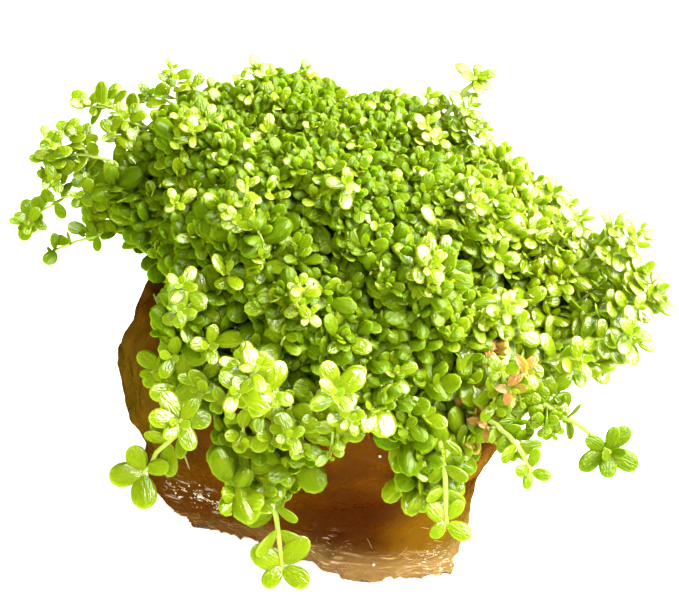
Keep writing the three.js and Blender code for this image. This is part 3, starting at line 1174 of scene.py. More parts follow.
# The side stems that fill out a sprig where it is bushy.
TWIGS = {
    "right_high_sprig": (
        Twig((25.5, 3, 35.5), (30.6, 3, 39.1), 2.7, 0.1),
        Twig((23, 5, 35), (24.9, 6, 39.8), 2.7, 0.1),
        Twig((27, 2, 36), (29, 2, 38.3), 2.7, 0.1),
        Twig((14.5, 1, 35), (16, -2.8, 38.4), 2.3, 0.45),
        Twig((13.5, 2, 36), (14.2, -2, 39.6), 2.3, 0.45),
    ),
    "right_back_sprig": (Twig((21, 7, 34.5), (23.4, 7, 38.4), 2.7, 0.1),),
    "right_long_sprig": (
        Twig((28.5, 0, 34.5), (31.8, 1, 36.9), 2.7, 0.1),
        Twig((30.5, -1, 34.6), (33.4, 0, 35.8), 2.7, 0.1),
        Twig((26, -2, 32), (29.5, -3, 34.6), 2.7, 0.1),
    ),
    "right_lower_sprig": (
        Twig((24, -5, 30.5), (28, -7, 33), 2.7, 0.1),
        Twig((22, -8, 30), (25.5, -10, 32), 2.7, 0.1),
    ),
    "right_short_sprig": (
        Twig((17, -11, 31.5), (18, -14.2, 29.4), 2.3, 0.35),
        Twig((18, -11, 30.5), (19.6, -14, 28.6), 2.3, 0.45),
        Twig((16, -12, 30), (17.2, -15.2, 28.2), 2.3, 0.35),
        Twig((19, -11, 29.5), (21.2, -13.4, 28.6), 2.2, 0.5),
        Twig((18.6, -12.4, 31.6), (19.5, -15.2, 33.0), 2.5, 0.2, 0.9),
        Twig((17.4, -13, 29.8), (18.3, -15.6, 30.8), 2.3, 0.2, 0.9),
    ),
    "left_long_sprig": (
        Twig((-24.9, 8, 32.1), (-29.6, 9, 31.4), 2.35, 0.3),
        Twig((-24, 6, 31), (-27.8, 6, 30.4), 2.35, 0.3),
        Twig((-26, 7, 31.5), (-29.2, 5, 29.4), 2.35, 0.3),
    ),
    "left_middle_sprig": (
        Twig((-31, 11, 35.3), (-35.4, 11, 34.8), 2.35, 0.3),
        Twig((-31, 11, 34.6), (-34.7, 10, 32.6), 2.35, 0.3),
        Twig((-30, 11.5, 35.8), (-33.6, 12, 38), 2.35, 0.3),
    ),
    "left_upper_sprig": (
        Twig((-23.4, 12, 37.2), (-28.1, 14, 37.4), 2.35, 0.3),
        Twig((-22, 12, 36.5), (-26.1, 13, 37.3), 2.35, 0.3),
    ),
    "left_crown_sprig": (
        Twig((-17, 17, 39), (-20.4, 20, 42.2), 2.35, 0.3),
        Twig((-15.8, 17, 39.7), (-17.8, 20, 42.1), 2.35, 0.3),
    ),
    "tall_crown_sprig": (
        Twig((8, 13.5, 43), (8.4, 15, 46.5), 2.0),
        Twig((4, 15, 43.2), (3.2, 17, 45.8), 2.0),
        Twig((8.6, 12.4, 43), (11.3, 12.6, 48), 2.3, 0.3),
        Twig((8.6, 11.8, 42.6), (10.9, 12, 45.8), 2.3, 0.35),
    ),
    "right_hanging_sprig": (
        Twig((18.6, -15.2, 26.8), (20.5, -16.4, 24.9), 2.0, 0.7),
        Twig((15.8, -13.8, 25.6), (16.8, -16.4, 26.4), 2.1, 0.3, 0.9),
    ),
    "right_trailing_sprig": (Twig((21.6, -13.6, 27.9), (23.5, -15, 25.9), 1.9, 0.6),),
    "front_left_sprig": (
        Twig((-14.2, -12.5, 27.5), (-15.9, -15.6, 29.3), 3.0, 0.25),
        Twig((-13.5, -14, 26), (-15.2, -16.9, 25.9), 3.2, 0.1),
        Twig((-12, -14.5, 26.5), (-13.1, -17.6, 27.6), 3.1, 0.15),
        Twig((-15.5, -11.5, 25.5), (-18.0, -13.8, 25.7), 2.9, 0.35),
    ),
    "front_rosette_sprig": (
        Twig((-9.5, -15.5, 27), (-10.0, -18.8, 26.2), 3.0, 0.1),
        Twig((-11.6, -13, 30), (-12.2, -16, 31.5), 2.8, 0.2),
    ),
    "front_upper_sprig": (
        Twig((-7.5, -17, 26.4), (-7.8, -19.8, 22.8), 2.7, 0.1),
        Twig((-5, -17.5, 27), (-4.6, -20.2, 23.6), 2.7, 0.1),
        Twig((-6, -15.5, 28.5), (-6.4, -18.8, 25.8), 2.6, 0.35),
        Twig((-3.4, -15.5, 28.8), (-3.4, -18.8, 26), 2.6, 0.35),
        Twig((-1, -15.5, 28.8), (-0.4, -18.6, 26), 2.6, 0.4),
    ),
    "front_centre_sprig": (
        Twig((-2.5, -17.5, 27), (-1.6, -20.2, 23.4), 2.6, 0.15),
        Twig((1, -17.5, 27.5), (2, -20, 25), 2.4, 0.2),
    ),
}


@dataclass
class LooseSprigs:
    """The sprigs that stand or trail clear of the mat, each grown on its own solid's line."""

    heart: Vector = field(default_factory=lambda: mm(3, 3, 20))
    inward: float = 2.3 * MM
    fine_above: float = 2.75  # a longer leaf than this is modelled more finely
    fine_rings: int = 10
    first_seed: int = 900
    arch: float = 0.4 * MM  # how far a stem that isn't in the table bends up
    to_viewer: Vector = field(default_factory=lambda: Vector((0.1, -0.8, 0.6)).normalized())

    def build(self, shapes: Shapes, materials: list[Material]) -> list[Piece]:
        """Grows each sprig as a piece of its own.

        Args:
            shapes: the modelled leaf of each kind.
            materials: the leaf's and the stem's material.

        Returns:
            The pieces.
        """
        fine = {kind: replace(model, rings=self.fine_rings) for kind, model in LEAF_MODELS.items()}
        fine_shapes = {kind: model.build() for kind, model in fine.items()}
        made = []
        for seed, node in enumerate(sorted(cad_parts)):
            if not node.endswith("_sprig") and not node.startswith("mat_sprig"):
                continue
            root, bend, tip = self.line(node)
            bed = Bed(node + "_leaves")
            style = STYLES.get(node) or STYLES[node.split("_")[0]]
            low = tip.z < root.z
            facing = self.to_viewer if low and tip.y < 0 else TO_LIGHT
            seed, leaf = self.first_seed + seed, style.leaf * MM
            Sprig(root, bend, tip, seed, leaf, style.habit, facing, style.shade).grow(bed)
            for number, twig in enumerate(TWIGS.get(node, ())):
                twig.grow(bed, seed * 10 + number, facing)
            chosen = fine_shapes if style.leaf > self.fine_above else shapes
            made.append(bed.build(chosen, materials, node, "leaf"))
        return made

    def line(self, node: str) -> tuple[Vector, Vector, Vector]:
        """Gives the root, bend and tip of a sprig's stem.

        Args:
            node: the sprig's solid.

        Returns:
            The three points. Those of a sprig with no entry in the table are read from its solid:
            the corners nearest to and farthest from the heart of the mat.
        """
        if node in PLACED_SPRIGS:
            root, tip, arch = PLACED_SPRIGS[node]
            root, tip = mm(*root), mm(*tip)
            return root, (root + tip) / 2 + UP * 2 * arch * MM, tip
        corners = sorted(
            (v.co.copy() for v in cad_object(node).data.vertices),
            key=lambda c: (c - self.heart).length,
        )
        root = sum(corners[:4], Vector()) / 4
        tip = sum(corners[-4:], Vector()) / 4
        tip -= (tip - root).normalized() * self.inward
        return root, (root + tip) / 2 + UP * self.arch, tip


# The mat


@dataclass(frozen=True)
class Layer:
    """One layer of the mat's sprigs.

    How far apart the sprigs stand, in grown leaves, how deep their tips lie under the skin at the
    most and at the least, in millimetres, and how many pairs they have. deep, shade and sunk are
    how much more shaded the leaves are farther back, everywhere, and where the tip lies deepest.
    """

    name: str
    habit: Habit
    apart: float
    lowest: float
    highest: float
    deep: float
    pairs: int
    shade: float = 0.0
    sunk: float = 0.0


OUTER_HABIT = Habit(turn_to_light=0.8, unruly=0.3, long_leaves=0.55, spread=0.35)
MIDDLE_HABIT = Habit(turn_to_light=1.0, unruly=0.25, spread=0.4)
INNER_HABIT = Habit(sizes=(0.7, 1.0, 1.15), only=LeafKind.SHADED, stem_steps=2)


@dataclass
class LeafyMat:
    """The dense dome of short sprigs, which stand all over the mat's solid and end at its skin."""

    layers: tuple[Layer, ...] = (
        Layer("outer", OUTER_HABIT, 1.48, 2.8, -0.5, deep=0.5, pairs=5, sunk=0.5),
        Layer("middle", MIDDLE_HABIT, 1.2, 3.1, 0.9, deep=0.4, pairs=3, shade=0.6, sunk=0.35),
        Layer("inner", INNER_HABIT, 0.76, 3.4, 1.7, deep=0.4, pairs=3, shade=0.95),
    )
    first_seed: int = 7
    tries: int = 90000
    small_leaf: float = 2.15 * MM
    large_leaf: float = 3.4 * MM
    small_at: Vector = field(default_factory=lambda: mm(0, 14, 46))
    heart: Vector = field(default_factory=lambda: mm(1, 4, 22))
    level: float = 26 * MM  # above it the sprigs stand up, and below it they droop
    level_fade: float = 12 * MM
    droop: float = -0.4
    rise: float = 0.35
    outwards: float = 0.45  # how much a sprig follows the skin, and as much the way from the heart
    leaf_sizes: tuple[float, float] = (0.8, 1.18)
    sprig_lengths: tuple[float, float] = (0.85, 1.15)
    crown_reach: float = 14 * MM  # up to here round small_at the leaves are the smallest
    crown_fade: float = 30 * MM  # and from this much farther out they are the largest
    crown_relief: float = 0.5
    lit_right: tuple[float, float] = (8 * MM, 14 * MM)  # where light comes in, and over how far
    lit_low: tuple[float, float] = (24 * MM, 7 * MM)  # the same in front, downwards
    lit_front: float = -8 * MM
    clump_size: float = 4.5 * MM
    lean: float = 0.28
    in_wool: float = 0.2 * MM  # deeper in the plug than this there are no leaves
    on_wool: float = 0.8 * MM  # skin nearer to the plug than this lies on it
    off_wool: float = 3 * MM  # and skin farther off than this is clear of it
    withered: tuple[Point, ...] = ((19.2, -12.0, 31.7), (18.4, -13.5, 29.5), (16.5, -15.5, 25.9))
    withered_reach: float = 3.0 * MM
    withered_share: float = 0.8
    # Where the mat stands in (or out, below 0): the place, how far round it, and by how much.
    pulled_in: tuple[tuple[float, float, float, float, float], ...] = (
        (-18.5, -7, 28, 6, 1.6),
        (-17.5, -11, 22.5, 6, 1.4),
        (-23.5, 1, 28.5, 6.5, 2.6),
        (-17, 17, 40, 7, -1.2),
        (24, -8, 28, 6, 1.2),
        (25, 6, 35, 6, -0.8),
    )

    SIDES = ("crown", "left", "front", "right", "back")
    TURNS = ((45, "right"), (135, "back"), (215, "left"), (320, "front"))  # up to which degree

    def build(self, shapes: Shapes, materials: list[Material]) -> list[Piece]:
        """Grows each layer of the mat in five pieces, by the side that each faces.

        Args:
            shapes: the modelled leaf of each kind.
            materials: the leaf's and the stem's material.

        Returns:
            The pieces.
        """
        solid, plug = solid_tree("leafy_mat"), solid_tree("growing_plug")
        pieces = []
        for number, layer in enumerate(self.layers):
            beds = {side: Bed(f"{side}_{layer.name}_foliage") for side in self.SIDES}
            rng = np.random.default_rng(self.first_seed + number)
            for point, normal in self.skin_points(layer, rng, plug):
                self.sprig_at(point, normal, layer, rng, solid).grow(beds[self.side_of(point)])
            for bed in beds.values():
                bed.leaves = [leaf for leaf in bed.leaves if not self.in_plug(leaf.place, plug)]
                pieces.append(bed.build(shapes, materials, "leafy_mat", "leaf"))
        return pieces

    def in_plug(self, point: Vector, plug: BVHTree) -> bool:
        """Tells whether a point lies inside the plug, where no leaf grows."""
        nearest, normal, _, _ = plug.find_nearest(point)
        return (point - nearest).dot(normal) < -self.in_wool

    def side_of(self, point: Vector) -> str:
        """Names the side of the mat that a point is on.

        Args:
            point: the point.

        Returns:
            One of SIDES.
        """
        out = point - self.heart
        if out.z > math.hypot(out.x, out.y):
            return "crown"
        turn = math.degrees(math.atan2(out.y, out.x)) % 360
        return next((side for limit, side in self.TURNS if turn < limit), "right")

    def off_crown(self, point: Vector) -> float:
        """Tells how far a point is from the crown: 0 on it and 1 well away from it."""
        away = (point - self.small_at).length - self.crown_reach
        return min(1.0, max(0.0, away / self.crown_fade))

    def leaf_at(self, point: Vector) -> float:
        """Gives the length of a grown leaf at a point: short on the crown, longer away from it."""
        return self.small_leaf + (self.large_leaf - self.small_leaf) * self.off_crown(point)

    def relief_at(self, point: Vector) -> float:
        """Gives the share of a layer's depth at a point: less where the leaves are small."""
        return self.crown_relief + (1 - self.crown_relief) * self.off_crown(point)

    def lit_at(self, point: Vector) -> float:
        """Tells how far light comes through at a point: up to 1 on the right and low in front.

        Args:
            point: the point.

        Returns:
            The share of the light.
        """
        right = (point.x - self.lit_right[0]) / self.lit_right[1]
        low = (self.lit_low[0] - point.z) / self.lit_low[1] if point.y < self.lit_front else 0.0
        return min(1.0, max(0.0, right, low))

    def skin_points(
        self, layer: Layer, rng: np.random.Generator, plug: BVHTree
    ) -> list[tuple[Vector, Vector]]:
        """Spreads points evenly over the outside of the mat's solid.

        Args:
            layer: the layer that they are for.
            rng: the layer's own chance.
            plug: the plug's solid, which the mat's inside lies against.

        Returns:
            Each point with the way that the skin faces there.
        """
        mesh = cad_object("leafy_mat").data
        faces = [p for p in mesh.polygons if self.is_outside(p, plug)]
        areas = np.array([p.area for p in faces])
        picks = rng.choice(len(faces), self.tries, p=areas / areas.sum())
        cell_size = self.large_leaf * layer.apart
        cells: dict[tuple[int, ...], list[Vector]] = {}
        found = []
        for pick in picks:
            a, b, c = (mesh.vertices[v].co for v in faces[pick].vertices)
            s, t = sorted(rng.random(2))
            point = a * s + b * (t - s) + c * (1 - t)
            apart = self.leaf_at(point) * layer.apart
            cell = tuple(math.floor(x / cell_size) for x in point)
            around = product(*((c - 1, c, c + 1) for c in cell))
            if any((p - point).length < apart for near in around for p in cells.get(near, ())):
                continue
            cells.setdefault(cell, []).append(point)
            found.append((point, faces[pick].normal.copy()))
        return found

    def is_outside(self, face: bpy.types.MeshPolygon, plug: BVHTree) -> bool:
        """Tells whether a face of the solid is open to the air, and does not look at the plug.

        Args:
            face: the face.
            plug: the plug's solid.

        Returns:
            Whether it is.
        """
        nearest, _, _, away = plug.find_nearest(face.center)
        looks_away = face.normal.dot(face.center - nearest) > 0
        return away > self.off_wool or (away > self.on_wool and looks_away)

    def sprig_at(
        self, point: Vector, normal: Vector, layer: Layer, rng: np.random.Generator, solid: BVHTree
    ) -> Sprig:
        """Plans the sprig that ends at one point of the skin.

        Args:
            point: where it ends.
            normal: the way that the skin faces there.
            layer: the layer that it is in.
            rng: the layer's own chance.
            solid: the mat's solid.

        Returns:
            The sprig.
        """
        leaf = self.leaf_at(point) * rng.uniform(*self.leaf_sizes)
        radial = (point - self.heart).normalized()
        lean = Vector(rng.normal(0, self.lean, 3))
        lift = min(self.rise, max(self.droop, (point.z - self.level) / self.level_fade))
        out = normal * self.outwards + radial * self.outwards
        way = (out + UP * lift + lean).normalized()
        clump = 0.5 + 0.9 * noise.noise(point / self.clump_size)
        share = min(1.0, max(0.0, 0.75 * clump + 0.45 * rng.random() ** 1.5))
        depth = layer.highest + (layer.lowest - layer.highest) * share
        tip = point - normal * depth * self.relief_at(point) * MM
        for *place, reach, pull in self.pulled_in:
            near = max(0.0, 1 - (point - mm(*place)).length / (reach * MM))
            tip -= normal * pull * MM * near**0.5
        hit = solid.ray_cast(tip - radial * 0.5 * MM, -radial)
        room = hit[3] if hit[0] is not None else 2 * MM
        wanted = (Habit().backs[layer.pairs - 1] + 0.35) * leaf * rng.uniform(*self.sprig_lengths)
        long = min(wanted, max(room * 0.95, 1.6 * leaf))
        root = tip - (radial * 0.6 + way * 0.4).normalized() * long
        bend = tip - way * long * 0.45
        dry = any((point - mm(*spot)).length < self.withered_reach for spot in self.withered)
        seed = int(rng.integers(SEEDS))
        lit = self.lit_at(point)
        # Painted shade: the layer's own and more where the tip lies deep, both less where light
        # comes through.
        shade = layer.shade * (1 - 0.75 * lit) + layer.sunk * share * (1 - 0.4 * lit)
        wither = self.withered_share if dry else 0.0
        looks = {"shade": shade, "deep": layer.deep, "wither": wither}
        return Sprig(root, bend, tip, seed, leaf, layer.habit, **looks)


def solid_tree(node: str) -> BVHTree:
    """Gives a solid as a tree that tells what is near and what a ray meets.

    Args:
        node: the solid.

    Returns:
        The tree.
    """
    mesh = cad_object(node).data
    corners = [v.co for v in mesh.vertices]
    return BVHTree.FromPolygons(corners, [tuple(p.vertices) for p in mesh.polygons])


@dataclass
class PaintedShadeCore:
    """A dark core that stands for the dense old stems under the leaves, in painted deep shade.

    It shows only through the leaves' gaps.
    """

    voxel: float = 1.2 * MM
    shrink: float = 0.84
    heart: Point = (1, 4, 24)

    def build(self, material: Material) -> Piece:
        """Shrinks a merged copy of the mat's solid towards its heart and roughens it.

        Args:
            material: the deep shade.

        Returns:
            The piece.
        """
        piece = merged_copy("leafy_mat", "painted_shade_core")
        edit_all()
        bpy.ops.transform.resize(value=(self.shrink,) * 3, center_override=mm(*self.heart))
        leave_edit()
        apply_modifier(piece, "even", "REMESH", {"mode": "VOXEL", "voxel_size": self.voxel})
        roughen(piece, "tangle lumps", 2.4 * MM, 1.6 * MM)
        piece.data.materials.clear()
        piece.data.materials.append(material)
        stand_for(piece, "leafy_mat")
        log.info("stem tangle: %d faces", len(piece.data.polygons))
        return piece


def merged_copy(node: str, name: str) -> Piece:
    """Copies a solid into a new piece with its loose triangles merged.

    Args:
        node: the solid.
        name: the new piece's name.

    Returns:
        The piece, active and selected.
    """
    piece = bpy.data.objects.new(name, cad_object(node).data.copy())
    bpy.context.scene.collection.objects.link(piece)
    piece.data.name = name
    make_active(piece)
    edit_all()
    bpy.ops.mesh.remove_doubles(threshold=MERGE)
    leave_edit()
    return piece


def apply_modifier(piece: Piece, name: str, kind: str, settings: dict[str, object]) -> None:
    """Adds one modifier with its settings and applies it.

    Args:
        piece: the piece.
        name: the modifier's name.
        kind: its type.
        settings: the value of each of its settings.
    """
    make_active(piece)
    modifier = piece.modifiers.new(name, kind)
    for key, value in settings.items():
        setattr(modifier, key, value)
    bpy.ops.object.modifier_apply(modifier=name)


def roughen(piece: Piece, name: str, size: float, strength: float, group: str = "") -> None:
    """Pushes a piece's surface in and out by clouds.

    Args:
        piece: the piece.
        name: the clouds' name.
        size: how large they are, in metres.
        strength: how far they push, in metres.
        group: the vertex group that they act on, or nothing for the whole piece.
    """
    clouds = bpy.data.textures.new(name, "CLOUDS")
    clouds.noise_scale = size
    clouds.noise_depth = 2
    settings = {"texture": clouds, "strength": strength, "mid_level": 0.5}
    settings |= {"texture_coords": "GLOBAL", "vertex_group": group}
    apply_modifier(piece, name, "DISPLACE", settings)


# The plug


@dataclass
class GrowingPlug:
    """The plug of wet wool, with its lumps, torn lower edge and loose strands."""

    voxel: float = 0.45 * MM
    rim_height: float = 3.2 * MM
    strands: int = 380
    strand_radius: float = 0.035 * MM
    strand_low: float = 1.3 * MM  # how fast the strands get fewer upwards
    strand_points: int = 5
    strand_step: tuple[float, float] = (0.25, 0.5)
    strand_lift: tuple[float, float] = (0.0, 0.07)
    # Soft pushes of its surface: the place, how far round it, and the push, in millimetres.
    presses: tuple[tuple, ...] = (
        ((19, -6.5, 9), 8.5, (-1.1, 0.2, 0)),
        ((18.5, -9, 2), 5, (-0.6, 0.3, 0)),
        ((-22.5, -3.5, 21.5), 3.4, (-0.8, -0.5, 0.2)),
        ((-22, -0.5, 25.5), 3, (0.9, 0.2, 0)),
        ((-22, -6, 17), 5, (0.9, 0.3, 0)),
        ((-15.5, -8.5, 4.5), 5, (-1.1, -0.7, 0)),
        ((-8, -9, 0.5), 5, (0, 0.6, 0)),
    )

    def build(self, wool: Material, strand: Material) -> Piece:
        """Builds the plug and its strands.

        Args:
            wool: the plug's material.
            strand: the strands' material.

        Returns:
            The plug.
        """
        plug = merged_copy("growing_plug", "wool_plug")
        apply_modifier(plug, "fine", "REMESH", {"mode": "VOXEL", "voxel_size": self.voxel})
        apply_modifier(plug, "soft", "SMOOTH", {"factor": 0.5, "iterations": 6})
        roughen(plug, "lumps", 4.5 * MM, 1.0 * MM)
        roughen(plug, "dimples", 1.5 * MM, 0.3 * MM)
        self.press(plug)
        self.mark_rim(plug)
        roughen(plug, "torn edge", 1.7 * MM, 2.2 * MM, "rim")
        roughen(plug, "rim wrinkles", 0.7 * MM, 0.9 * MM, "rim")
        self.trim_base(plug)
        plug.data.materials.clear()
        plug.data.materials.append(wool)
        make_active(plug)
        bpy.ops.object.shade_smooth()
        stand_for(plug, "growing_plug")
        log.info("plug: %d faces", len(plug.data.polygons))
        self.loose_strands(plug, strand)
        return plug

    def press(self, plug: Piece) -> None:
        """Pushes the plug's surface softly at a few places.

        Args:
            plug: the plug, out of edit mode.
        """
        for place, reach, push in self.presses:
            centre = mm(*place)
            for corner in plug.data.vertices:
                near = max(0.0, 1 - (corner.co - centre).length / (reach * MM))
                if near:
                    corner.co += mm(*push) * near * near * (3 - 2 * near)

    def mark_rim(self, plug: Piece) -> None:
        """Marks the lower edge of the plug's sides, fading upwards.

        Args:
            plug: the dressed plug.
        """
        group = plug.vertex_groups.new(name="rim")
        for corner in plug.data.vertices:
            low = 1 - corner.co.z / self.rim_height
            if low > 0:
                group.add([corner.index], low, "REPLACE")

    @staticmethod
    def trim_base(plug: Piece) -> None:
        """Cuts the plug off flat where it stands.

        Args:
            plug: the dressed plug.
        """
        make_active(plug)
        edit_all()
        bpy.ops.mesh.bisect(
            plane_co=(0, 0, 0), plane_no=(0, 0, 1), use_fill=True, clear_inner=True, threshold=MERGE
        )
        leave_edit()

    def loose_strands(self, plug: Piece, material: Material) -> Piece:
        """Lays thin strands of wool over the plug's surface.

        Args:
            plug: the dressed plug.
            material: the strands' material.

        Returns:
            The strands, as one piece.
        """
        surface = surface_of(plug)
        rng = np.random.default_rng(31)
        bed = Bed("wool_strands")
        faces = [f for f in plug.data.polygons if abs(f.normal.z) < 0.7 and f.center.z > 0.4 * MM]
        odds = np.exp([-f.center.z / self.strand_low for f in faces])
        for pick in rng.choice(len(faces), self.strands, p=odds / odds.sum()):
            face = faces[int(pick)]
            point, normal = face.center.copy(), face.normal.copy()
            way = normal.cross(UP) * rng.choice((-1, 1)) + UP * rng.normal(0, 0.45)
            way.normalize()
            path = []
            for _ in range(self.strand_points):
                path.append(point + normal * rng.uniform(*self.strand_lift) * MM)
                way = (way + Vector(rng.normal(0, 0.2, 3))).normalized()
                ahead = point + way * rng.uniform(*self.strand_step) * MM
                point, normal, _, _ = surface.find_nearest(ahead)
            if min(p.z for p in path) < 0.2 * MM:
                continue
            bed.stems.append((path, self.strand_radius, self.strand_radius * 0.5, 0.0))
        return bed.build({}, [material, material], "growing_plug", "wet_wool")


@dataclass(frozen=True)
class RootLine:
    """A bare root on the plug: its points, its radii and its gap to the plug, in millimetres."""

    points: tuple[Point, ...]
    root: float
    tip: float
    off: float = 0.1


@dataclass
class BareRoots:
    """The bare roots and stems that show on the plug under the leaves."""

    name: str
    lines: tuple[RootLine, ...]

    def build(self, plug: Piece, material: Material) -> Piece:
        """Lays each line along the plug's surface.

        Args:
            plug: the dressed plug.
            material: the roots' material.

        Returns:
            The roots, as one piece.
        """
        surface = surface_of(plug)
        bed = Bed(self.name)
        for line in self.lines:
            path = []
            for point in line.points:
                near, normal, _, _ = surface.find_nearest(mm(*point))
                path.append(near + normal * (line.off + line.root) * MM)
            bed.stems.append((self.rounded(path), line.root * MM, line.tip * MM, 0.0))
        return bed.build({}, [material, material], "growing_plug", "leaf")

    @staticmethod
    def rounded(path: list[Vector]) -> list[Vector]:
        """Cuts the corners of a path twice.

        Args:
            path: its points.

        Returns:
            The rounded path's points.
        """
        for _ in range(2):
            cut = [path[0]]
            for a, b in zip(path, path[1:]):
                cut += [a.lerp(b, 0.25), a.lerp(b, 0.75)]
            path = cut + [path[-1]]
        return path


# The root that leaves the plug at the right and comes back to it in a loop.
LOOP_UP = ((14.1, -13.2, 18.6), (14.0, -13.4, 20.6), (14.6, -13.4, 21.9))
LOOP_DOWN = ((15.5, -12.6, 20.4), (15.8, -12.1, 18.2))
PALE_ROOTS = BareRoots(
    "pale_roots",
    (
        RootLine(
            ((-20.1, -0.4, 26), (-19, -3.2, 26), (-17.9, -5.5, 26), (-16.8, -7.4, 26)), 0.13, 0.07
        ),
        RootLine(((-14.6, -11.8, 15.4), (-14, -11.8, 13.9), (-13.3, -12, 12.4)), 0.2, 0.04, 0.3),
        RootLine((*LOOP_UP, *LOOP_DOWN), 0.13, 0.1, 0.5),
        RootLine(((12.2, -14.6, 24.6), (12.7, -14.4, 21.8), (13.2, -13.6, 19)), 0.32, 0.28, 0.8),
    ),
)
RED_ROOTS = BareRoots(
    "red_roots",
    (
        RootLine(((4.3, -15.9, 25.6), (4.6, -16.2, 24.5), (4.9, -16.4, 23.6)), 0.4, 0.06, 0.2),
        RootLine(((2.6, -16.8, 24.2), (2.7, -16.7, 22.9), (2.5, -16.2, 21.6)), 0.16, 0.05, 0.1),
    ),
)


@dataclass
class WaterDrops:
    """Beads of water on the plug: some placed one by one, the rest by chance round wet spots."""

    placed: tuple[tuple[float, float, float, float], ...] = (
        (6.4, -16.1, 21, 0.34),
        (8.9, -12.2, 12.2, 0.4),
        (7.9, -12.6, 2.7, 0.36),
    )
    wet: tuple[Point, ...] = (
        (-15.2, -9.5, 8.1),
        (-13.4, -10.2, 7.4),
        (-11.6, -10.8, 7.1),
        (-10.1, -11, 6.8),
        (-8.5, -11, 6.4),
        (14.2, -10.6, 2.8),
        (16.1, -9.9, 1.6),
    )
    each: int = 9
    scatter: float = 0.9
    sizes: tuple[float, float] = (0.1, 0.24)

    def build(self, plug: Piece, material: Material) -> Piece:
        """Models one bead, then lays a copy at each place.

        Args:
            plug: the dressed plug.
            material: the water, coloured pale as a painted glint.

        Returns:
            The beads, as one piece.
        """
        surface = surface_of(plug)
        rng = np.random.default_rng(5)
        beads = [(mm(*place), size * MM) for *place, size in self.placed]
        for spot in self.wet:
            for _ in range(self.each):
                place = mm(*spot) + Vector(rng.normal(0, self.scatter, 3)) * MM
                beads.append((place, rng.uniform(*self.sizes) * MM))
        bed = Bed("water_drops")
        for place, size in beads:
            near, normal, _, _ = surface.find_nearest(place)
            if near.z < 0.5 * MM:
                continue
            along = normal.cross(Vector((0.3, 0.2, 0.9))).normalized()
            bed.leaves.append(Leaf(LeafKind.DROP, near, along, normal, size, 1.0, 0.0, 0.0))
        shapes = {LeafKind.DROP: self.bead()}
        return bed.build(shapes, [material, material], "growing_plug", "wet_wool")

    @staticmethod
    def bead() -> LeafShape:
        """Models a bead one unit wide, flattened and set a little into what it lies on.

        Returns:
            The bead's shape.
        """
        deselect_all()
        bpy.ops.mesh.primitive_ico_sphere_add(subdivisions=2, radius=0.5)
        bead = bpy.context.object
        edit_all()
        bpy.ops.transform.resize(value=(1.0, 1.0, 0.7))
        shift(z=0.2)
        leave_edit()
        shape = LeafShape.read(bead, 1.0)
        bpy.data.objects.remove(bead)
        return shape


# The studio


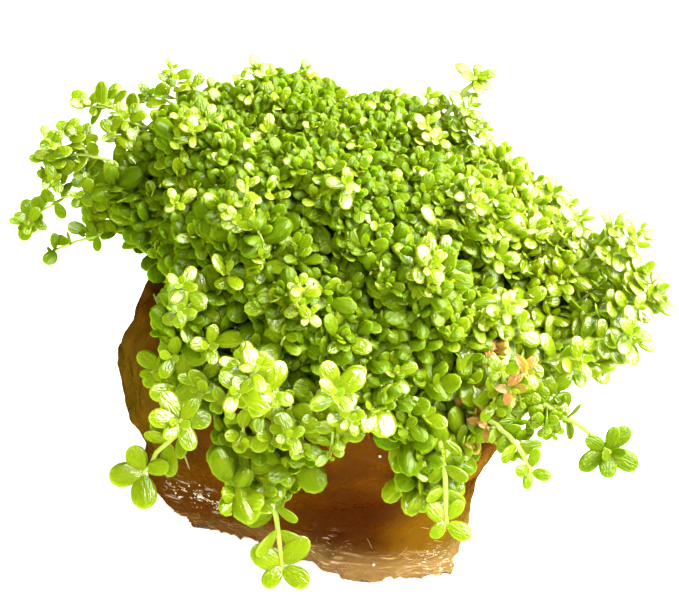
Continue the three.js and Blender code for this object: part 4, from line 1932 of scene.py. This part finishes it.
@dataclass
class Studio:
    """Pale floor, soft light from the upper right, and the camera at the photo's angle."""

    target: Vector = field(default_factory=lambda: mm(0, 0, 29))
    elevation: float = 33.0
    roll: float = 8.0
    distance: float = 165 * MM
    lens: float = 80.5
    warm: Colour = (1.0, 1.0, 0.95)

    def build(self) -> None:
        """Builds the floor, the lights and the camera."""
        self.floor()
        for lamp in (
            self.light("key", (0.26, -0.02, 0.33), 0.18, 3.0, (1.0, 0.98, 0.93)),
            self.light("back", (0.18, 0.26, 0.30), 0.24, 2.6, self.warm),
            self.light("fill", (-0.08, -0.42, 0.28), 0.40, 2.15, self.warm),
        ):
            lamp.visible_glossy = False
        sheen = self.light("sheen", (0.24, 0.0, 0.34), 0.46, 7.6, (0.96, 1.0, 1.0))
        sheen.visible_diffuse = False
        sheen.visible_transmission = False
        self.camera()
        world = bpy.data.worlds.new("studio")
        world.use_nodes = True
        background = world.node_tree.nodes["Background"]
        background.inputs["Color"].default_value = (1.0, 1.0, 1.0, 1.0)
        background.inputs["Strength"].default_value = 0.25
        world.cycles_visibility.glossy = False
        bpy.context.scene.world = world
        bpy.context.scene.view_settings.view_transform = "Standard"
        bpy.context.scene.view_settings.look = "Medium High Contrast"

    @staticmethod
    def floor() -> None:
        """Lays the pale floor."""
        deselect_all()
        bpy.ops.mesh.primitive_plane_add(size=4.0)
        floor = bpy.context.object
        floor.name = "floor"
        material, _, shader = new_material("pale floor")
        white = (0.93, 0.93, 0.93, 1.0)
        dress(shader, {"Base Color": white, "Roughness": 0.8, "Emission Color": white})
        shader.inputs["Emission Strength"].default_value = 0.5
        floor.data.materials.append(material)
        floor.visible_glossy = False

    def light(self, name: str, place: Point, size: float, watts: float, colour: Colour) -> Piece:
        """Hangs one square soft light that looks at the plant.

        Args:
            name: the light's name.
            place: where it hangs, in metres.
            size: its width, in metres.
            watts: its power.
            colour: its colour.

        Returns:
            The light.
        """
        lamp = bpy.data.lights.new(name, "AREA")
        lamp.size = size
        lamp.energy = watts
        lamp.color = colour
        holder = bpy.data.objects.new(name, lamp)
        holder.location = place
        holder.rotation_euler = (self.target - Vector(place)).to_track_quat("-Z", "Y").to_euler()
        bpy.context.scene.collection.objects.link(holder)
        return holder

    def camera(self) -> None:
        """Sets up the camera, rolled as the photo's was."""
        lift, turn = math.radians(self.elevation), math.radians(self.roll)
        look = Vector((0, math.cos(lift), -math.sin(lift)))
        right, up = Vector((1, 0, 0)), Vector((0, math.sin(lift), math.cos(lift)))
        across = right * math.cos(turn) + up * math.sin(turn)
        upward = up * math.cos(turn) - right * math.sin(turn)
        data = bpy.data.cameras.new("camera")
        data.lens = self.lens
        data.clip_start = 0.005
        holder = bpy.data.objects.new("camera", data)
        turned = Matrix((across, upward, -look)).transposed().to_4x4()
        holder.matrix_world = Matrix.Translation(self.target - look * self.distance) @ turned
        bpy.context.scene.collection.objects.link(holder)
        bpy.context.scene.camera = holder


def main() -> None:
    """Builds the studio, then the plug, the mat and the loose sprigs."""
    logging.basicConfig(level=logging.INFO, format="%(name)s: %(message)s")
    Studio().build()
    mottle, marks = mottle_group(), leaf_marks_group()
    leaf = LeafFinish().material(marks, mottle)
    stem = StemFinish().material(mottle)
    wool = WetWoolFinish().material(mottle)
    strand = PlainFinish("wool strand", (0.6, 0.4, 0.17), (0.4, 0.2, 0.05), 0.35).material(mottle)
    shade_core = ShadeFinish().material(mottle)
    shapes = {kind: model.build() for kind, model in LEAF_MODELS.items()}
    plug = GrowingPlug().build(wool, strand)
    root = PlainFinish("pale root", (0.66, 0.62, 0.36), (0.50, 0.42, 0.18), 0.35).material(mottle)
    red = PlainFinish("red root", (0.30, 0.05, 0.008), (0.22, 0.06, 0.01), 0.35).material(mottle)
    # The beads are clear water coloured pale: their colour is a painted glint.
    water = PlainFinish("water", (0.86, 0.82, 0.70), (0.70, 0.62, 0.42), 0.04).material(mottle)
    PALE_ROOTS.build(plug, root)
    RED_ROOTS.build(plug, red)
    WaterDrops().build(plug, water)
    PaintedShadeCore().build(shade_core)
    LeafyMat().build(shapes, [leaf, stem])
    LooseSprigs().build(shapes, [leaf, stem])


if __name__ == "__main__":
    main()
